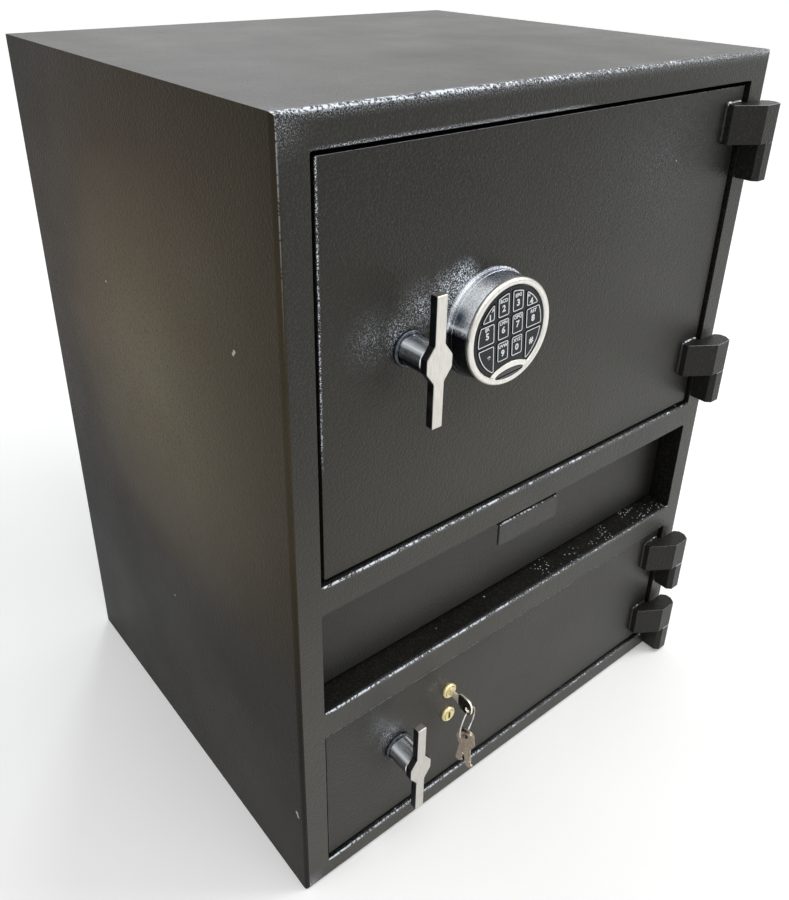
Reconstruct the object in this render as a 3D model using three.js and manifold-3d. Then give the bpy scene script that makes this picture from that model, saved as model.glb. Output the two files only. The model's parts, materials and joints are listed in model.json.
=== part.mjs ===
// Drop safe with a deposit hopper between two doors. Millimetres, +Z up, seen from the front +X is
// to the right. The origin is the centre of the cabinet's underside, and the front faces -Y.
import * as THREE from "three";
import { mergeVertices } from "three/addons/utils/BufferGeometryUtils.js";
import Module from "manifold-3d";

// Clearances
const weldGap = 0.3; // between fixed pieces that touch
const runGap = 0.3; // round a shaft, pin or bolt that moves
const hingeGap = 0.4; // between the two knuckles of a hinge
const overcut = 1; // how far a cutting tool passes the faces that it cuts

// Cabinet
const bodyWidth = 533.4;
const bodyDepth = 457.2;
const bodyHeight = 711.2;
const sheet = 3.2;
const sheetBend = 1; // inside a folded sheet
const bendRadius = 4.4; // front edges, outside
const sideJamb = 25.4;
const topJamb = 25.4;
const bottomBar = 22.2;
const railHeight = 28;
const lowerOpeningHeight = 165;
const recessHeight = 108.5;
const openingCorner = 2;
const returnDepth = 20; // flanges turned inward round each opening
const ledgeDepth = 29; // sill of the deposit recess, with the plate that carries it on
const bottomLip = 22; // front flange under the floor plate
const anchorRadius = 7;
const anchorInsetX = 76;
const anchorInsetY = 78;

// Doors
const doorRecess = 3.2; // door face behind the cabinet's front
const doorPlate = 12.7;
const doorGap = 4;
const freeEdgeGap = { upper: 5, lower: 2.4 }; // at the edge away from the hinges
const doorCorner = 1;

// Hinges
const pivotInset = 11.7; // from the cabinet's side
const pivotReach = 11.4; // in front of the cabinet's front
const barrelHalf = 10.4;
const barrelFlat = 5.8; // half of the barrel's front flat
const barrelBack = 8.4;
const leafReach = 42; // from the pivot to the leaf's far edge
const leafEdge = 7.2; // height of the leaf's far edge
const leafShoulder = 15; // where the sloping front meets the flat
const leafWeld = 24; // where the leaf leaves the door
const leafHeight = 35;
const leafCap = 3.5; // closed top over the pin
const leafHollow = 4; // fillet behind the strap
const leafRound = 2;
const knuckleRound = 1;
const knuckleHeight = 35;
const knuckleFoot = 7; // foot on the jamb, right of the pivot
const pinRadius = 4.5;
const upperHingeDrop = 18.3; // upper leaf's top below the top of the opening
const upperHingeRise = 77.8; // lower leaf's top above the bottom of the opening
const lowerHingeDrop = 14.7;
const lowerHingeRise = 52.8;

// Handles
const handleInset = 83.8; // axis from the side of the opening
const upperHandleDrop = 153.8; // axis below the top of the upper opening
const lowerHandleDrop = 74.2; // axis below the top of the lower opening
const handleHalf = 52.3;
const handleWidth = 10;
const handleThickness = 7.6;
const handleStand = 27; // back of the bar in front of the door
const handleBevel = 0.8;
const hubWidth = 24.4;
const hubFlat = 10;
const hubHeight = 29;
const hubRound = 2;
const sleeveRadius = 12;
const shaftRadius = 8;
const collarWall = 2.8;
const collarDepth = 3.3;
const collarChamfer = 1;

// Boltwork behind each door
const camGap = 0.6;
const camThickness = 4;
const camRadius = 22;
const camPinReach = 16;
const camPinRadius = 4;
const camPinPast = 2.3;
const handleTurn = THREE.MathUtils.degToRad(75);
const slotGap = 0.8;
const slotFlat = 0.2; // straight length left at the slot's ends
const linkThickness = 4;
const linkWidth = 30;
const linkInset = 37.3; // carriage plate from the door's edge
const linkArmDrop = 3; // lower edge of the arm above the handle's axis
const linkArmHeight = 25;
const boltRadius = 11;
const boltBack = 18; // bolt axis behind the door plate
const boltChamfer = 2;
const boltTipGap = 1.3; // retracted tip inside the door's edge
const boltMargin = 13; // carriage plate past the outer bolts
const boltShort = 2; // bolts end before the plate's far edge
const upperBoltPitch = 110;
const lowerBoltPitch = 90;
const guideInset = 11.3; // guide from the door's edge
const guideDepth = 34;
const guideFoot = 20;
const guideMargin = 22;
const deadbarWidth = 46;
const deadbarFoot = 8;
const deadbarTongue = 6;
const deadbarSlope = 2;
const deadbarInset = 1; // step inside the door's edge
const deadbarBehind = 3; // tongue behind the jamb's flange
const deadbarOverlap = 6.2; // tongue past the opening's edge
const deadbarMargin = 30;

// Keypad on the upper door
const padSide = 80.3; // keypad's axis from the handle's
const padDrop = 154.5; // axis below the top of the upper opening
const padTurn = THREE.MathUtils.degToRad(4); // the keypad's head sits a little turned to the left
const padFlangeRadius = 46;
const padFlangeDepth = 2.8;
const padFlangeChamfer = 0.8;
const padDrumRadius = 44.4;
const padFaceRadius = 43.2;
const padFace = 22; // front of the drum
const padCableRadius = 6;
const bezelRadius = 44;
const bezelInner = 37.8;
const bezelHeight = 4.3;
const bezelCrown = 41; // radius of the ring's highest circle
const bezelShoulder = 1.5;
const bezelFall = { outer: 0.4, inner: 0.7, bore: 1.6 }; // below the crown, at the shoulder and inward
const panelThickness = 2.5;
const keyAreaRadius = 34.5;
const keyWidth = 12;
const keyHeight = 17;
const keyPitchX = 15.3;
const keyPitchZ = 18.9;
const keyRowRise = 5.5; // middle row above the centre
const keyCorner = 2;
const keyTravel = 0.8;
const keyProud = 0.7;
const keySideGap = 0.25;
const smileRise = 26; // top of the bezel's lower arc, below the centre
const smileHalfWidth = 29;
const smileDepth = 20;
const smileHeight = 3.4;
const smileClear = 1.2; // between the keys and the arc
const lensWidth = 32.8;
const lensHeight = 9.4;
const lensDrop = 35.6;
const lensProud = 0.3;

// Locks on the lower door
const lockSide = 64.5; // key cylinders' axes from the handle's
const lockUpperDrop = 44.7; // upper key cylinder below the top of the lower opening
const lockSpacing = 32;
const hornRadius = 8.2;
const hornFront = 3;
const hornLength = 31;
const hornChamfer = 0.6;
const plugRadius = 5.5;
const plugProud = 0.2;
const keywayWall = 2;
const bladeThickness = 2;
const bladeHeight = 8;
const bladeInside = 22;
const bladeTip = { rise: 2.5, run: 3 };
const shankLength = 10.3;
const bowLength = 19;
const bowHeight = 18;
const bowCorner = 7;
const bowHoleRadius = 2.8;
const bowHoleInset = 5; // from the bow's outer end
const bowHoleDrop = 3;
const ringRadius = 15.5;
const ringWire = 1;
const ringTurn = THREE.MathUtils.degToRad(20);
const ringSeat = 0.3; // between the wire and the edge of the hole that it hangs on
const spareOffset = 1.4;
const spareTilt = THREE.MathUtils.degToRad(9);
const spareLength = 27;
const caseCorner = 3;
const lowerLockCase = { width: 62, height: 82, depth: 26 };
const upperLockCase = { width: 80, height: 62, depth: 32 };

// Deposit hopper
const hopperPlate = 3.2;
const hopperDepth = 25; // panel face behind the cabinet's front
const hopperSideGap = 1.5;
const hopperTopGap = 3.4;
const hopperBottomGap = 4.3;
const hopperPivotDepth = 31.5;
const hopperPivotRise = 9.8; // above the ledge
const rodRadius = 3;
const traySheet = 2;
const trayLength = 98;
const traySlope = THREE.MathUtils.degToRad(30);
const trayTop = 11.5; // width of the cheek's top edge
const trayTopDrop = 5.7;
const trayEnd = 11;
const trayTopRound = 6;
const trayEndRound = 4;
const trayFrontRound = 1;
const pullWidth = 80;
const pullHeight = 25.3;
const pullPlate = 2.7;
const pullDrop = 6.4;
const pullCorner = 2.4;
const pullBend = 1.5;
const chuteDepth = 150;
const baffleDepth = 133;
const baffleRise = 24.8; // lower edge above the ledge

// Places that follow from the sizes above
const front = -bodyDepth / 2;
const back = bodyDepth / 2;
const innerHalf = bodyWidth / 2 - sheet;
const openingHalf = bodyWidth / 2 - sideJamb;
const lowerOpening = [bottomBar, bottomBar + lowerOpeningHeight];
const recess = [lowerOpening[1] + railHeight, lowerOpening[1] + railHeight + recessHeight];
const upperOpening = [recess[1] + railHeight, bodyHeight - topJamb];
const doorFace = front + doorRecess;
const doorBack = doorFace + doorPlate;
const doorEdge = openingHalf - doorGap;
const pivotX = bodyWidth / 2 - pivotInset;
const pivotY = front - pivotReach;
const handleX = handleInset - openingHalf;
const padX = handleX + padSide;
const lockX = handleX + lockSide;
const guideX = guideInset - doorEdge;
const linkX = linkInset - doorEdge;
const upperHandleZ = upperOpening[1] - upperHandleDrop;
const lowerHandleZ = lowerOpening[1] - lowerHandleDrop;

const black = { color: 0x2b2b2a, roughness: 0.48, metalness: 0.1 };
const chrome = { color: 0xd9dadb, roughness: 0.18, metalness: 1 };
const satinChrome = { color: 0xc9c6c0, roughness: 0.3, metalness: 1 };
const zincSteel = { color: 0x9fa3a6, roughness: 0.4, metalness: 1 };
const brass = { color: 0xcdb26a, roughness: 0.28, metalness: 1 };
const nickel = { color: 0xb8ada0, roughness: 0.3, metalness: 1 };
const darkPlastic = { color: 0x1b1d20, roughness: 0.38, metalness: 0 };

const wasm = await Module();
wasm.setup();

function solid(geometry) {
  const bare = geometry.clone();
  bare.deleteAttribute("normal");
  bare.deleteAttribute("uv");
  const merged = mergeVertices(bare, 1e-4);
  return new wasm.Manifold(
    new wasm.Mesh({
      numProp: 3,
      vertProperties: merged.attributes.position.array,
      triVerts: new Uint32Array(merged.index.array),
    }),
  );
}

function join(first, ...others) {
  return others.reduce((sum, other) => sum.add(other), first);
}

function cut(first, ...tools) {
  return tools.reduce((rest, tool) => rest.subtract(tool), first);
}

// A named piece of the group, from a manifold solid.
function piece(group, name, body, finish) {
  const mesh = body.getMesh();
  const geometry = new THREE.BufferGeometry();
  geometry.setAttribute("position", new THREE.BufferAttribute(mesh.vertProperties, 3));
  geometry.setIndex(new THREE.BufferAttribute(mesh.triVerts, 1));
  geometry.computeVertexNormals();
  const made = new THREE.Mesh(geometry, new THREE.MeshStandardMaterial(finish));
  made.name = name;
  group.add(made);
  return made;
}

// A closed outline. A corner is [x, y], or [x, y, radius] where it is rounded.
function outline(corners) {
  const shape = new THREE.Shape();
  const last = corners.length;
  corners.forEach(([x, y, radius = 0], i) => {
    const here = new THREE.Vector2(x, y);
    const [beforeX, beforeY] = corners[(i + last - 1) % last];
    const [afterX, afterY] = corners[(i + 1) % last];
    const toBefore = new THREE.Vector2(beforeX, beforeY).sub(here).normalize();
    const toAfter = new THREE.Vector2(afterX, afterY).sub(here).normalize();
    const half = Math.acos(THREE.MathUtils.clamp(toBefore.dot(toAfter), -1, 1)) / 2;
    const start = here.clone().addScaledVector(toBefore, radius / Math.tan(half));
    if (i === 0) shape.moveTo(start.x, start.y);
    else shape.lineTo(start.x, start.y);
    if (!radius) return;
    const end = here.clone().addScaledVector(toAfter, radius / Math.tan(half));
    const inward = toBefore.clone().add(toAfter).normalize();
    const centre = here.clone().addScaledVector(inward, radius / Math.sin(half));
    const from = Math.atan2(start.y - centre.y, start.x - centre.x);
    const to = Math.atan2(end.y - centre.y, end.x - centre.x);
    shape.absarc(centre.x, centre.y, radius, from, to, toBefore.cross(toAfter) > 0);
  });
  return shape;
}

function rectangle([x0, x1], [y0, y1], radius = 0) {
  return outline([
    [x0, y0, radius],
    [x1, y0, radius],
    [x1, y1, radius],
    [x0, y1, radius],
  ]);
}

function extruded(shape, length, steps) {
  return new THREE.ExtrudeGeometry(shape, { depth: length, bevelEnabled: false, curveSegments: steps });
}

// An outline in X and Y, drawn along Z.
function prismZ(shape, [z0, z1], steps = 2) {
  return solid(extruded(shape, z1 - z0, steps).translate(0, 0, z0));
}

// An outline in X and Z, as seen from the front, drawn along Y.
function prismY(shape, [y0, y1], steps = 2) {
  return solid(extruded(shape, y1 - y0, steps).rotateX(Math.PI / 2).translate(0, y1, 0));
}

// An outline in Y and Z, drawn along X.
function prismX(shape, [x0, x1], steps = 2) {
  const turn = new THREE.Matrix4().makeBasis(
    new THREE.Vector3(0, 1, 0),
    new THREE.Vector3(0, 0, 1),
    new THREE.Vector3(1, 0, 0),
  );
  return solid(extruded(shape, x1 - x0, steps).applyMatrix4(turn).translate(x0, 0, 0));
}

function block([x0, x1], [y0, y1], [z0, z1]) {
  const box = new THREE.BoxGeometry(x1 - x0, y1 - y0, z1 - z0);
  return solid(box.translate((x0 + x1) / 2, (y0 + y1) / 2, (z0 + z1) / 2));
}

function rodY(x, z, radius, [y0, y1], steps = 24) {
  const rod = new THREE.CylinderGeometry(radius, radius, y1 - y0, steps);
  return solid(rod.translate(x, (y0 + y1) / 2, z));
}

function rodX(y, z, radius, [x0, x1], steps = 20) {
  const rod = new THREE.CylinderGeometry(radius, radius, x1 - x0, steps);
  return solid(rod.rotateZ(Math.PI / 2).translate((x0 + x1) / 2, y, z));
}

function rodZ(x, y, radius, [z0, z1], steps = 20) {
  const rod = new THREE.CylinderGeometry(radius, radius, z1 - z0, steps);
  return solid(rod.rotateX(Math.PI / 2).translate(x, y, (z0 + z1) / 2));
}

// A profile of [radius, y] points turned about the Y axis.
function turned(profile, steps = 32) {
  const points = profile.map(([radius, y]) => new THREE.Vector2(radius, y));
  if (THREE.ShapeUtils.area(points) < 0) points.reverse();
  return solid(new THREE.LatheGeometry(points, steps));
}

// Sheet body: front, sides and top with rounded front edges, three openings and their flanges.
function cabinetShell() {
  const plan = outline([
    [-bodyWidth / 2, back],
    [-bodyWidth / 2, front, bendRadius],
    [bodyWidth / 2, front, bendRadius],
    [bodyWidth / 2, back],
  ]);
  const side = outline([
    [front, 0, bendRadius],
    [back, 0],
    [back, bodyHeight],
    [front, bodyHeight, bendRadius],
  ]);
  const full = prismZ(plan, [0, bodyHeight], 3).intersect(
    prismX(side, [-bodyWidth / 2, bodyWidth / 2], 3),
  );
  const room = block([-innerHalf, innerHalf], [front + sheet, back + sheet], [sheet, bodyHeight - sheet]);
  const under = block([-innerHalf, innerHalf], [front + bottomLip, back + sheet], [-sheet, sheet * 2]);
  const hollow = cut(full, room, under);
  return [lowerOpening, recess, upperOpening].reduce(openingIn, hollow);
}

// Cuts one opening in the front and turns its four flanges inward.
function openingIn(shell, [z0, z1]) {
  const outer = rectangle(
    [-openingHalf - sheet, openingHalf + sheet],
    [z0 - sheet, z1 + sheet],
    openingCorner + sheet,
  );
  const inner = rectangle([-openingHalf, openingHalf], [z0, z1], openingCorner);
  const flanges = prismY(outer, [front + sheet / 2, front + returnDepth]);
  const hole = prismY(inner, [front - sheet, front + returnDepth + sheet]);
  return cut(join(shell, flanges), hole);
}

function cabinet(group) {
  const inside = [-innerHalf + weldGap, innerHalf - weldGap];
  const rear = back - sheet;
  piece(group, "cabinet_shell", cabinetShell(), black);
  piece(group, "cabinet_back", block(inside, [rear, back], [0, bodyHeight - sheet - weldGap]), black);
  const anchorX = bodyWidth / 2 - anchorInsetX;
  const anchorY = bodyDepth / 2 - anchorInsetY;
  const anchors = [-1, 1].flatMap((sx) =>
    [-1, 1].map((sy) => rodZ(sx * anchorX, sy * anchorY, anchorRadius, [-sheet, sheet * 2])),
  );
  const floor = block(inside, [front + bottomLip + weldGap, rear - weldGap], [0, sheet]);
  piece(group, "cabinet_floor", cut(floor, ...anchors), black);
  const deckDepth = [front + returnDepth + weldGap, rear - weldGap];
  const deck = block(inside, deckDepth, [upperOpening[0] - sheet, upperOpening[0]]);
  piece(group, "compartment_floor", deck, black);
  const ledgeWidth = [-openingHalf - sheet, openingHalf + sheet];
  const ledgeRun = [front + returnDepth + weldGap, front + ledgeDepth];
  piece(group, "deposit_ledge", block(ledgeWidth, ledgeRun, [recess[0] - sheet, recess[0]]), black);
}

// Leaf on the door: a flat-fronted barrel with a sloping strap welded to the door's face.
function hingeLeaf(top) {
  const weldFace = pivotReach + doorRecess - weldGap;
  const shape = outline([
    [-leafReach, weldFace],
    [-leafReach, weldFace - leafEdge, knuckleRound],
    [-leafShoulder, -barrelHalf, leafRound],
    [barrelFlat, -barrelHalf, knuckleRound],
    [barrelHalf, -barrelHalf / 3, knuckleRound],
    [barrelHalf, barrelHalf / 3, knuckleRound],
    [barrelFlat, barrelBack, knuckleRound],
    [-leafShoulder, barrelBack, leafHollow],
    [-leafWeld, weldFace],
  ]);
  const bottom = top - leafHeight;
  const leaf = prismZ(shape, [bottom, top]);
  const bore = rodZ(0, 0, pinRadius + runGap, [bottom - overcut, top - leafCap]);
  return cut(leaf, bore).translate([pivotX, pivotY, 0]);
}

// Knuckle on the jamb, with the pin that the leaf turns on.
function hingeKnuckle(leafTop) {
  const foot = pivotReach - weldGap;
  const shape = outline([
    [-barrelHalf, foot],
    [-barrelHalf, -barrelFlat, knuckleRound],
    [-barrelFlat, -barrelHalf, knuckleRound],
    [barrelFlat, -barrelHalf, knuckleRound],
    [barrelHalf, -barrelFlat, knuckleRound],
    [barrelHalf, barrelHalf / 3, knuckleRound],
    [knuckleFoot, foot],
  ]);
  const top = leafTop - leafHeight - hingeGap;
  const barrel = prismZ(shape, [top - knuckleHeight, top]);
  const pin = rodZ(0, 0, pinRadius, [top - overcut, leafTop - leafCap - hingeGap]);
  return join(barrel, pin).translate([pivotX, pivotY, 0]);
}

// Door plate with its holes, hinge leaves and the fixed bar on its hinge side.
function door(group, name, opening, hingeTops, holes) {
  const tall = [opening[0] + doorGap, opening[1] - doorGap];
  const wide = [freeEdgeGap[name] - openingHalf, doorEdge];
  const plate = prismY(rectangle(wide, tall, doorCorner), [doorFace, doorBack]);
  const through = [doorFace - overcut, doorBack + overcut];
  const tools = holes.map(([x, z, radius]) => rodY(x, z, radius, through));
  piece(group, name + "_door_plate", cut(plate, ...tools), black);
  hingeTops.forEach((top, i) => {
    piece(group, name + "_hinge_leaf_" + (i + 1), hingeLeaf(top), black);
  });
  const foot = [doorBack + weldGap, doorBack + weldGap + deadbarFoot];
  const tongueFront = front + returnDepth + deadbarBehind;
  const bar = outline([
    [doorEdge - deadbarWidth, foot[0]],
    [doorEdge - deadbarInset, foot[0]],
    [doorEdge - deadbarInset, tongueFront],
    [openingHalf + deadbarOverlap, tongueFront],
    [openingHalf + deadbarOverlap, tongueFront + deadbarTongue],
    [doorEdge - deadbarTongue, tongueFront + deadbarTongue],
    [doorEdge - deadbarTongue - deadbarSlope, foot[1]],
    [doorEdge - deadbarWidth, foot[1]],
  ]);
  piece(group, name + "_deadbar", prismZ(bar, [tall[0] + deadbarMargin, tall[1] - deadbarMargin]), black);
}

// The T-shaped bar with its angular hub, in front of the door, and the shaft that it turns.
function handle(group, name, z) {
  const at = new THREE.Group();
  at.position.set(handleX, doorFace, z);
  group.add(at);
  const collar = turned([
    [sleeveRadius + runGap, -weldGap],
    [sleeveRadius + runGap, -weldGap - collarDepth],
    [sleeveRadius + collarWall - collarChamfer, -weldGap - collarDepth],
    [sleeveRadius + collarWall, collarChamfer - weldGap - collarDepth],
    [sleeveRadius + collarWall, -weldGap],
    [sleeveRadius + runGap, -weldGap],
  ]);
  piece(at, name + "_handle_collar", collar, satinChrome);
  const camFront = doorPlate + camGap;
  const shaft = turned([
    [0, camFront + camThickness],
    [camRadius, camFront + camThickness],
    [camRadius, camFront],
    [shaftRadius, camFront],
    [shaftRadius, -hingeGap],
    [sleeveRadius, -hingeGap],
    [sleeveRadius, weldGap - handleStand],
    [0, weldGap - handleStand],
  ]);
  const pinX = camPinReach * Math.sin(handleTurn / 2);
  const pinZ = camPinReach * Math.cos(handleTurn / 2);
  const pinEnd = camFront + camThickness + camGap + linkThickness + camPinPast;
  const pin = rodY(pinX, pinZ, camPinRadius, [camFront + camThickness / 2, pinEnd], 16);
  piece(at, name + "_handle_shaft", join(shaft, pin), chrome);
  const half = handleWidth / 2;
  const bar = outline([
    [half, handleHalf],
    [-half, handleHalf],
    [-half, hubHeight / 2, hubRound],
    [-hubWidth / 2, hubFlat / 2, hubRound],
    [-hubWidth / 2, -hubFlat / 2, hubRound],
    [-half, -hubHeight / 2, hubRound],
    [-half, -handleHalf],
    [half, -handleHalf],
    [half, -hubHeight / 2, hubRound],
    [hubWidth / 2, -hubFlat / 2, hubRound],
    [hubWidth / 2, hubFlat / 2, hubRound],
    [half, hubHeight / 2, hubRound],
  ]);
  const bevelled = new THREE.ExtrudeGeometry(bar, {
    depth: handleThickness - 2 * handleBevel,
    curveSegments: 2,
    bevelThickness: handleBevel,
    bevelSize: handleBevel,
    bevelOffset: -handleBevel,
    bevelSegments: 1,
  });
  bevelled.rotateX(Math.PI / 2).translate(0, -handleStand - handleBevel, 0);
  piece(at, name + "_handle_bar", solid(bevelled), satinChrome);
}

// Guide angle on the door and the carriage that slides in it: bolts, plate and slotted arm.
function boltwork(group, name, handleZ, bolts) {
  const span = (margin) => [Math.min(...bolts) - margin, Math.max(...bolts) + margin];
  const boltY = doorBack + boltBack;
  const foot = [doorBack + weldGap, doorBack + weldGap + sheet];
  const angle = outline([
    [guideX, foot[0]],
    [guideX + guideFoot, foot[0]],
    [guideX + guideFoot, foot[1]],
    [guideX + sheet, foot[1], sheetBend],
    [guideX + sheet, doorBack + guideDepth],
    [guideX, doorBack + guideDepth],
  ]);
  const through = [guideX - overcut, guideX + sheet + overcut];
  const holes = bolts.map((z) => rodX(boltY, z, boltRadius + runGap, through));
  const guide = cut(prismZ(angle, span(guideMargin)), ...holes);
  piece(group, name + "_bolt_guide", guide, zincSteel);

  const linkFront = doorBack + camGap * 2 + camThickness;
  const linkY = [linkFront, linkFront + linkThickness];
  const plate = block([linkX, linkX + linkWidth], linkY, span(boltMargin));
  const tip = boltTipGap - doorEdge;
  const rods = bolts.map((z) => {
    const length = linkX + linkWidth - boltShort - tip;
    const rod = turned(
      [
        [0, length],
        [boltRadius, length],
        [boltRadius, boltChamfer],
        [boltRadius - boltChamfer, 0],
        [0, 0],
      ],
      20,
    );
    return rod.rotate([0, 0, -90]).translate([tip, boltY, z]);
  });
  const pinX = handleX + camPinReach * Math.sin(handleTurn / 2);
  const slotHalf = camPinRadius + slotGap;
  const armZ = [handleZ + linkArmDrop, handleZ + linkArmDrop + linkArmHeight];
  const arm = block([linkX + linkWidth / 2, pinX + slotHalf * 2], linkY, armZ);
  const slotZ = [
    handleZ + camPinReach * Math.cos(handleTurn / 2) - slotHalf,
    handleZ + camPinReach + slotHalf,
  ];
  const slot = prismY(
    rectangle([pinX - slotHalf, pinX + slotHalf], slotZ, slotHalf - slotFlat / 2),
    [linkY[0] - overcut, linkY[1] + overcut],
  );
  piece(group, name + "_bolt_carriage", cut(join(plate, arm, ...rods), slot), zincSteel);
}

// Lower arc of the bezel, grown outward by a gap.
function smile(grow, [y0, y1]) {
  const arc = new THREE.Shape();
  const topZ = -smileRise + grow;
  arc.absellipse(0, topZ - smileDepth, smileHalfWidth + grow, smileDepth, 0, Math.PI * 2);
  return prismY(arc, [y0, y1], 18).intersect(rodY(0, 0, bezelInner + overcut, [y0, y1], 40));
}

function ellipse(width, height, drop, [y0, y1], steps = 14) {
  const oval = new THREE.Shape();
  oval.absellipse(0, -drop, width / 2, height / 2, 0, Math.PI * 2);
  return prismY(oval, [y0, y1], steps);
}

// One key's outline: a rounded cell, trimmed by the round key area and by the bezel's arc.
function keyCell(column, row, grow, depth) {
  const x = (column - 1.5) * keyPitchX;
  const z = keyRowRise - (row - 1) * keyPitchZ;
  const outerColumn = Math.abs(column - 1.5) > 1;
  const wide = keyWidth / 2 + grow;
  const reach = outerColumn ? keyWidth : 0;
  const left = x - wide - (column === 0 ? reach : 0);
  const right = x + wide + (column === 3 ? reach : 0);
  const upward = row === 0 ? keyWidth : 0;
  const downward = row === 2 && outerColumn ? keyWidth : 0;
  const cell = rectangle(
    [left, right],
    [z - keyHeight / 2 - grow - downward, z + keyHeight / 2 + grow + upward],
    keyCorner,
  );
  const area = rodY(0, 0, keyAreaRadius + grow, depth, 48);
  return cut(prismY(cell, depth).intersect(area), smile(smileClear - grow, depth));
}

function keypad(group, z) {
  const at = new THREE.Group();
  at.position.set(padX, doorFace, z);
  at.rotation.y = -padTurn;
  group.add(at);
  const flangeFront = -weldGap - padFlangeDepth;
  const housing = turned(
    [
      [0, -weldGap],
      [padFlangeRadius, -weldGap],
      [padFlangeRadius, flangeFront + padFlangeChamfer],
      [padFlangeRadius - padFlangeChamfer, flangeFront],
      [padDrumRadius, flangeFront],
      [padFaceRadius, -padFace],
      [0, -padFace],
    ],
    56,
  );
  piece(at, "keypad_housing", housing, chrome);

  const seat = -padFace - weldGap;
  const crown = seat - bezelHeight;
  const ring = turned(
    [
      [bezelInner, seat],
      [bezelRadius, seat],
      [bezelRadius, seat - bezelHeight / 2],
      [bezelRadius - bezelShoulder, crown + bezelFall.outer],
      [bezelCrown, crown],
      [bezelInner + bezelShoulder / 2, crown + bezelFall.inner],
      [bezelInner, crown + bezelFall.bore],
      [bezelInner, seat],
    ],
    56,
  );
  const arc = smile(0, [seat - smileHeight, seat]);
  const lensRoom = [lensWidth + 2 * weldGap, lensHeight + 2 * weldGap];
  const lensHole = ellipse(...lensRoom, lensDrop, [crown - overcut, seat + overcut]);
  piece(at, "keypad_bezel", cut(join(ring, arc), lensHole), satinChrome);
  const lens = ellipse(lensWidth, lensHeight, lensDrop, [seat - smileHeight - lensProud, seat]);
  piece(at, "keypad_lens", lens, darkPlastic);

  const cells = [0, 1, 2].flatMap((row) => [0, 1, 2, 3].map((column) => [column, row]));
  const panelDepth = [seat - panelThickness, seat];
  const through = [panelDepth[0] - overcut, panelDepth[1] + overcut];
  const pockets = cells.map(([column, row]) => keyCell(column, row, keySideGap, through));
  const panel = cut(
    rodY(0, 0, bezelInner - weldGap, panelDepth, 56),
    smile(weldGap, through),
    ...pockets,
  );
  piece(at, "keypad_panel", panel, darkPlastic);
  const labels = ["1", "2", "3", "4", "5", "6", "7", "8", "star", "9", "0", "hash"];
  const keyDepth = [seat - panelThickness - keyProud, seat - keyTravel - keySideGap];
  cells.forEach(([column, row], i) => {
    piece(at, "keypad_key_" + labels[i], keyCell(column, row, 0, keyDepth), darkPlastic);
  });
}

// A case screwed to the door's back, its bores open towards the door.
function lockCase(x, z, { width, height, depth }, bores) {
  const y0 = doorBack + weldGap;
  const box = prismY(
    rectangle([x - width / 2, x + width / 2], [z - height / 2, z + height / 2], caseCorner),
    [y0, y0 + depth],
    3,
  );
  const tools = bores.map((boreZ) =>
    rodY(x, boreZ, hornRadius + weldGap, [y0 - overcut, doorFace + hornLength - hornFront + weldGap]),
  );
  return cut(box, ...tools);
}

// Key blank in Y and Z: bow at -Y, blade at +Y, its shoulder at y = 0.
function keyOutline(bladeLength) {
  const half = bladeHeight / 2;
  const shoulder = -shankLength;
  const bowTop = bowHeight / 2;
  return outline([
    [shoulder - bowLength, -bowTop, bowCorner],
    [shoulder, -bowTop, bowCorner],
    [shoulder, -half],
    [bladeLength, -half],
    [bladeLength, half - bladeTip.rise],
    [bladeLength - bladeTip.run, half],
    [shoulder, half],
    [shoulder, bowTop, bowCorner],
    [shoulder - bowLength, bowTop, bowCorner],
  ]);
}

function keySolid(bladeLength, holeZ) {
  const thick = [-bladeThickness / 2, bladeThickness / 2];
  const holeY = bowHoleInset - shankLength - bowLength;
  const hole = rodX(holeY, holeZ, bowHoleRadius, [-bladeThickness, bladeThickness], 16);
  return cut(prismX(keyOutline(bladeLength), thick, 4), hole);
}

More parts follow.
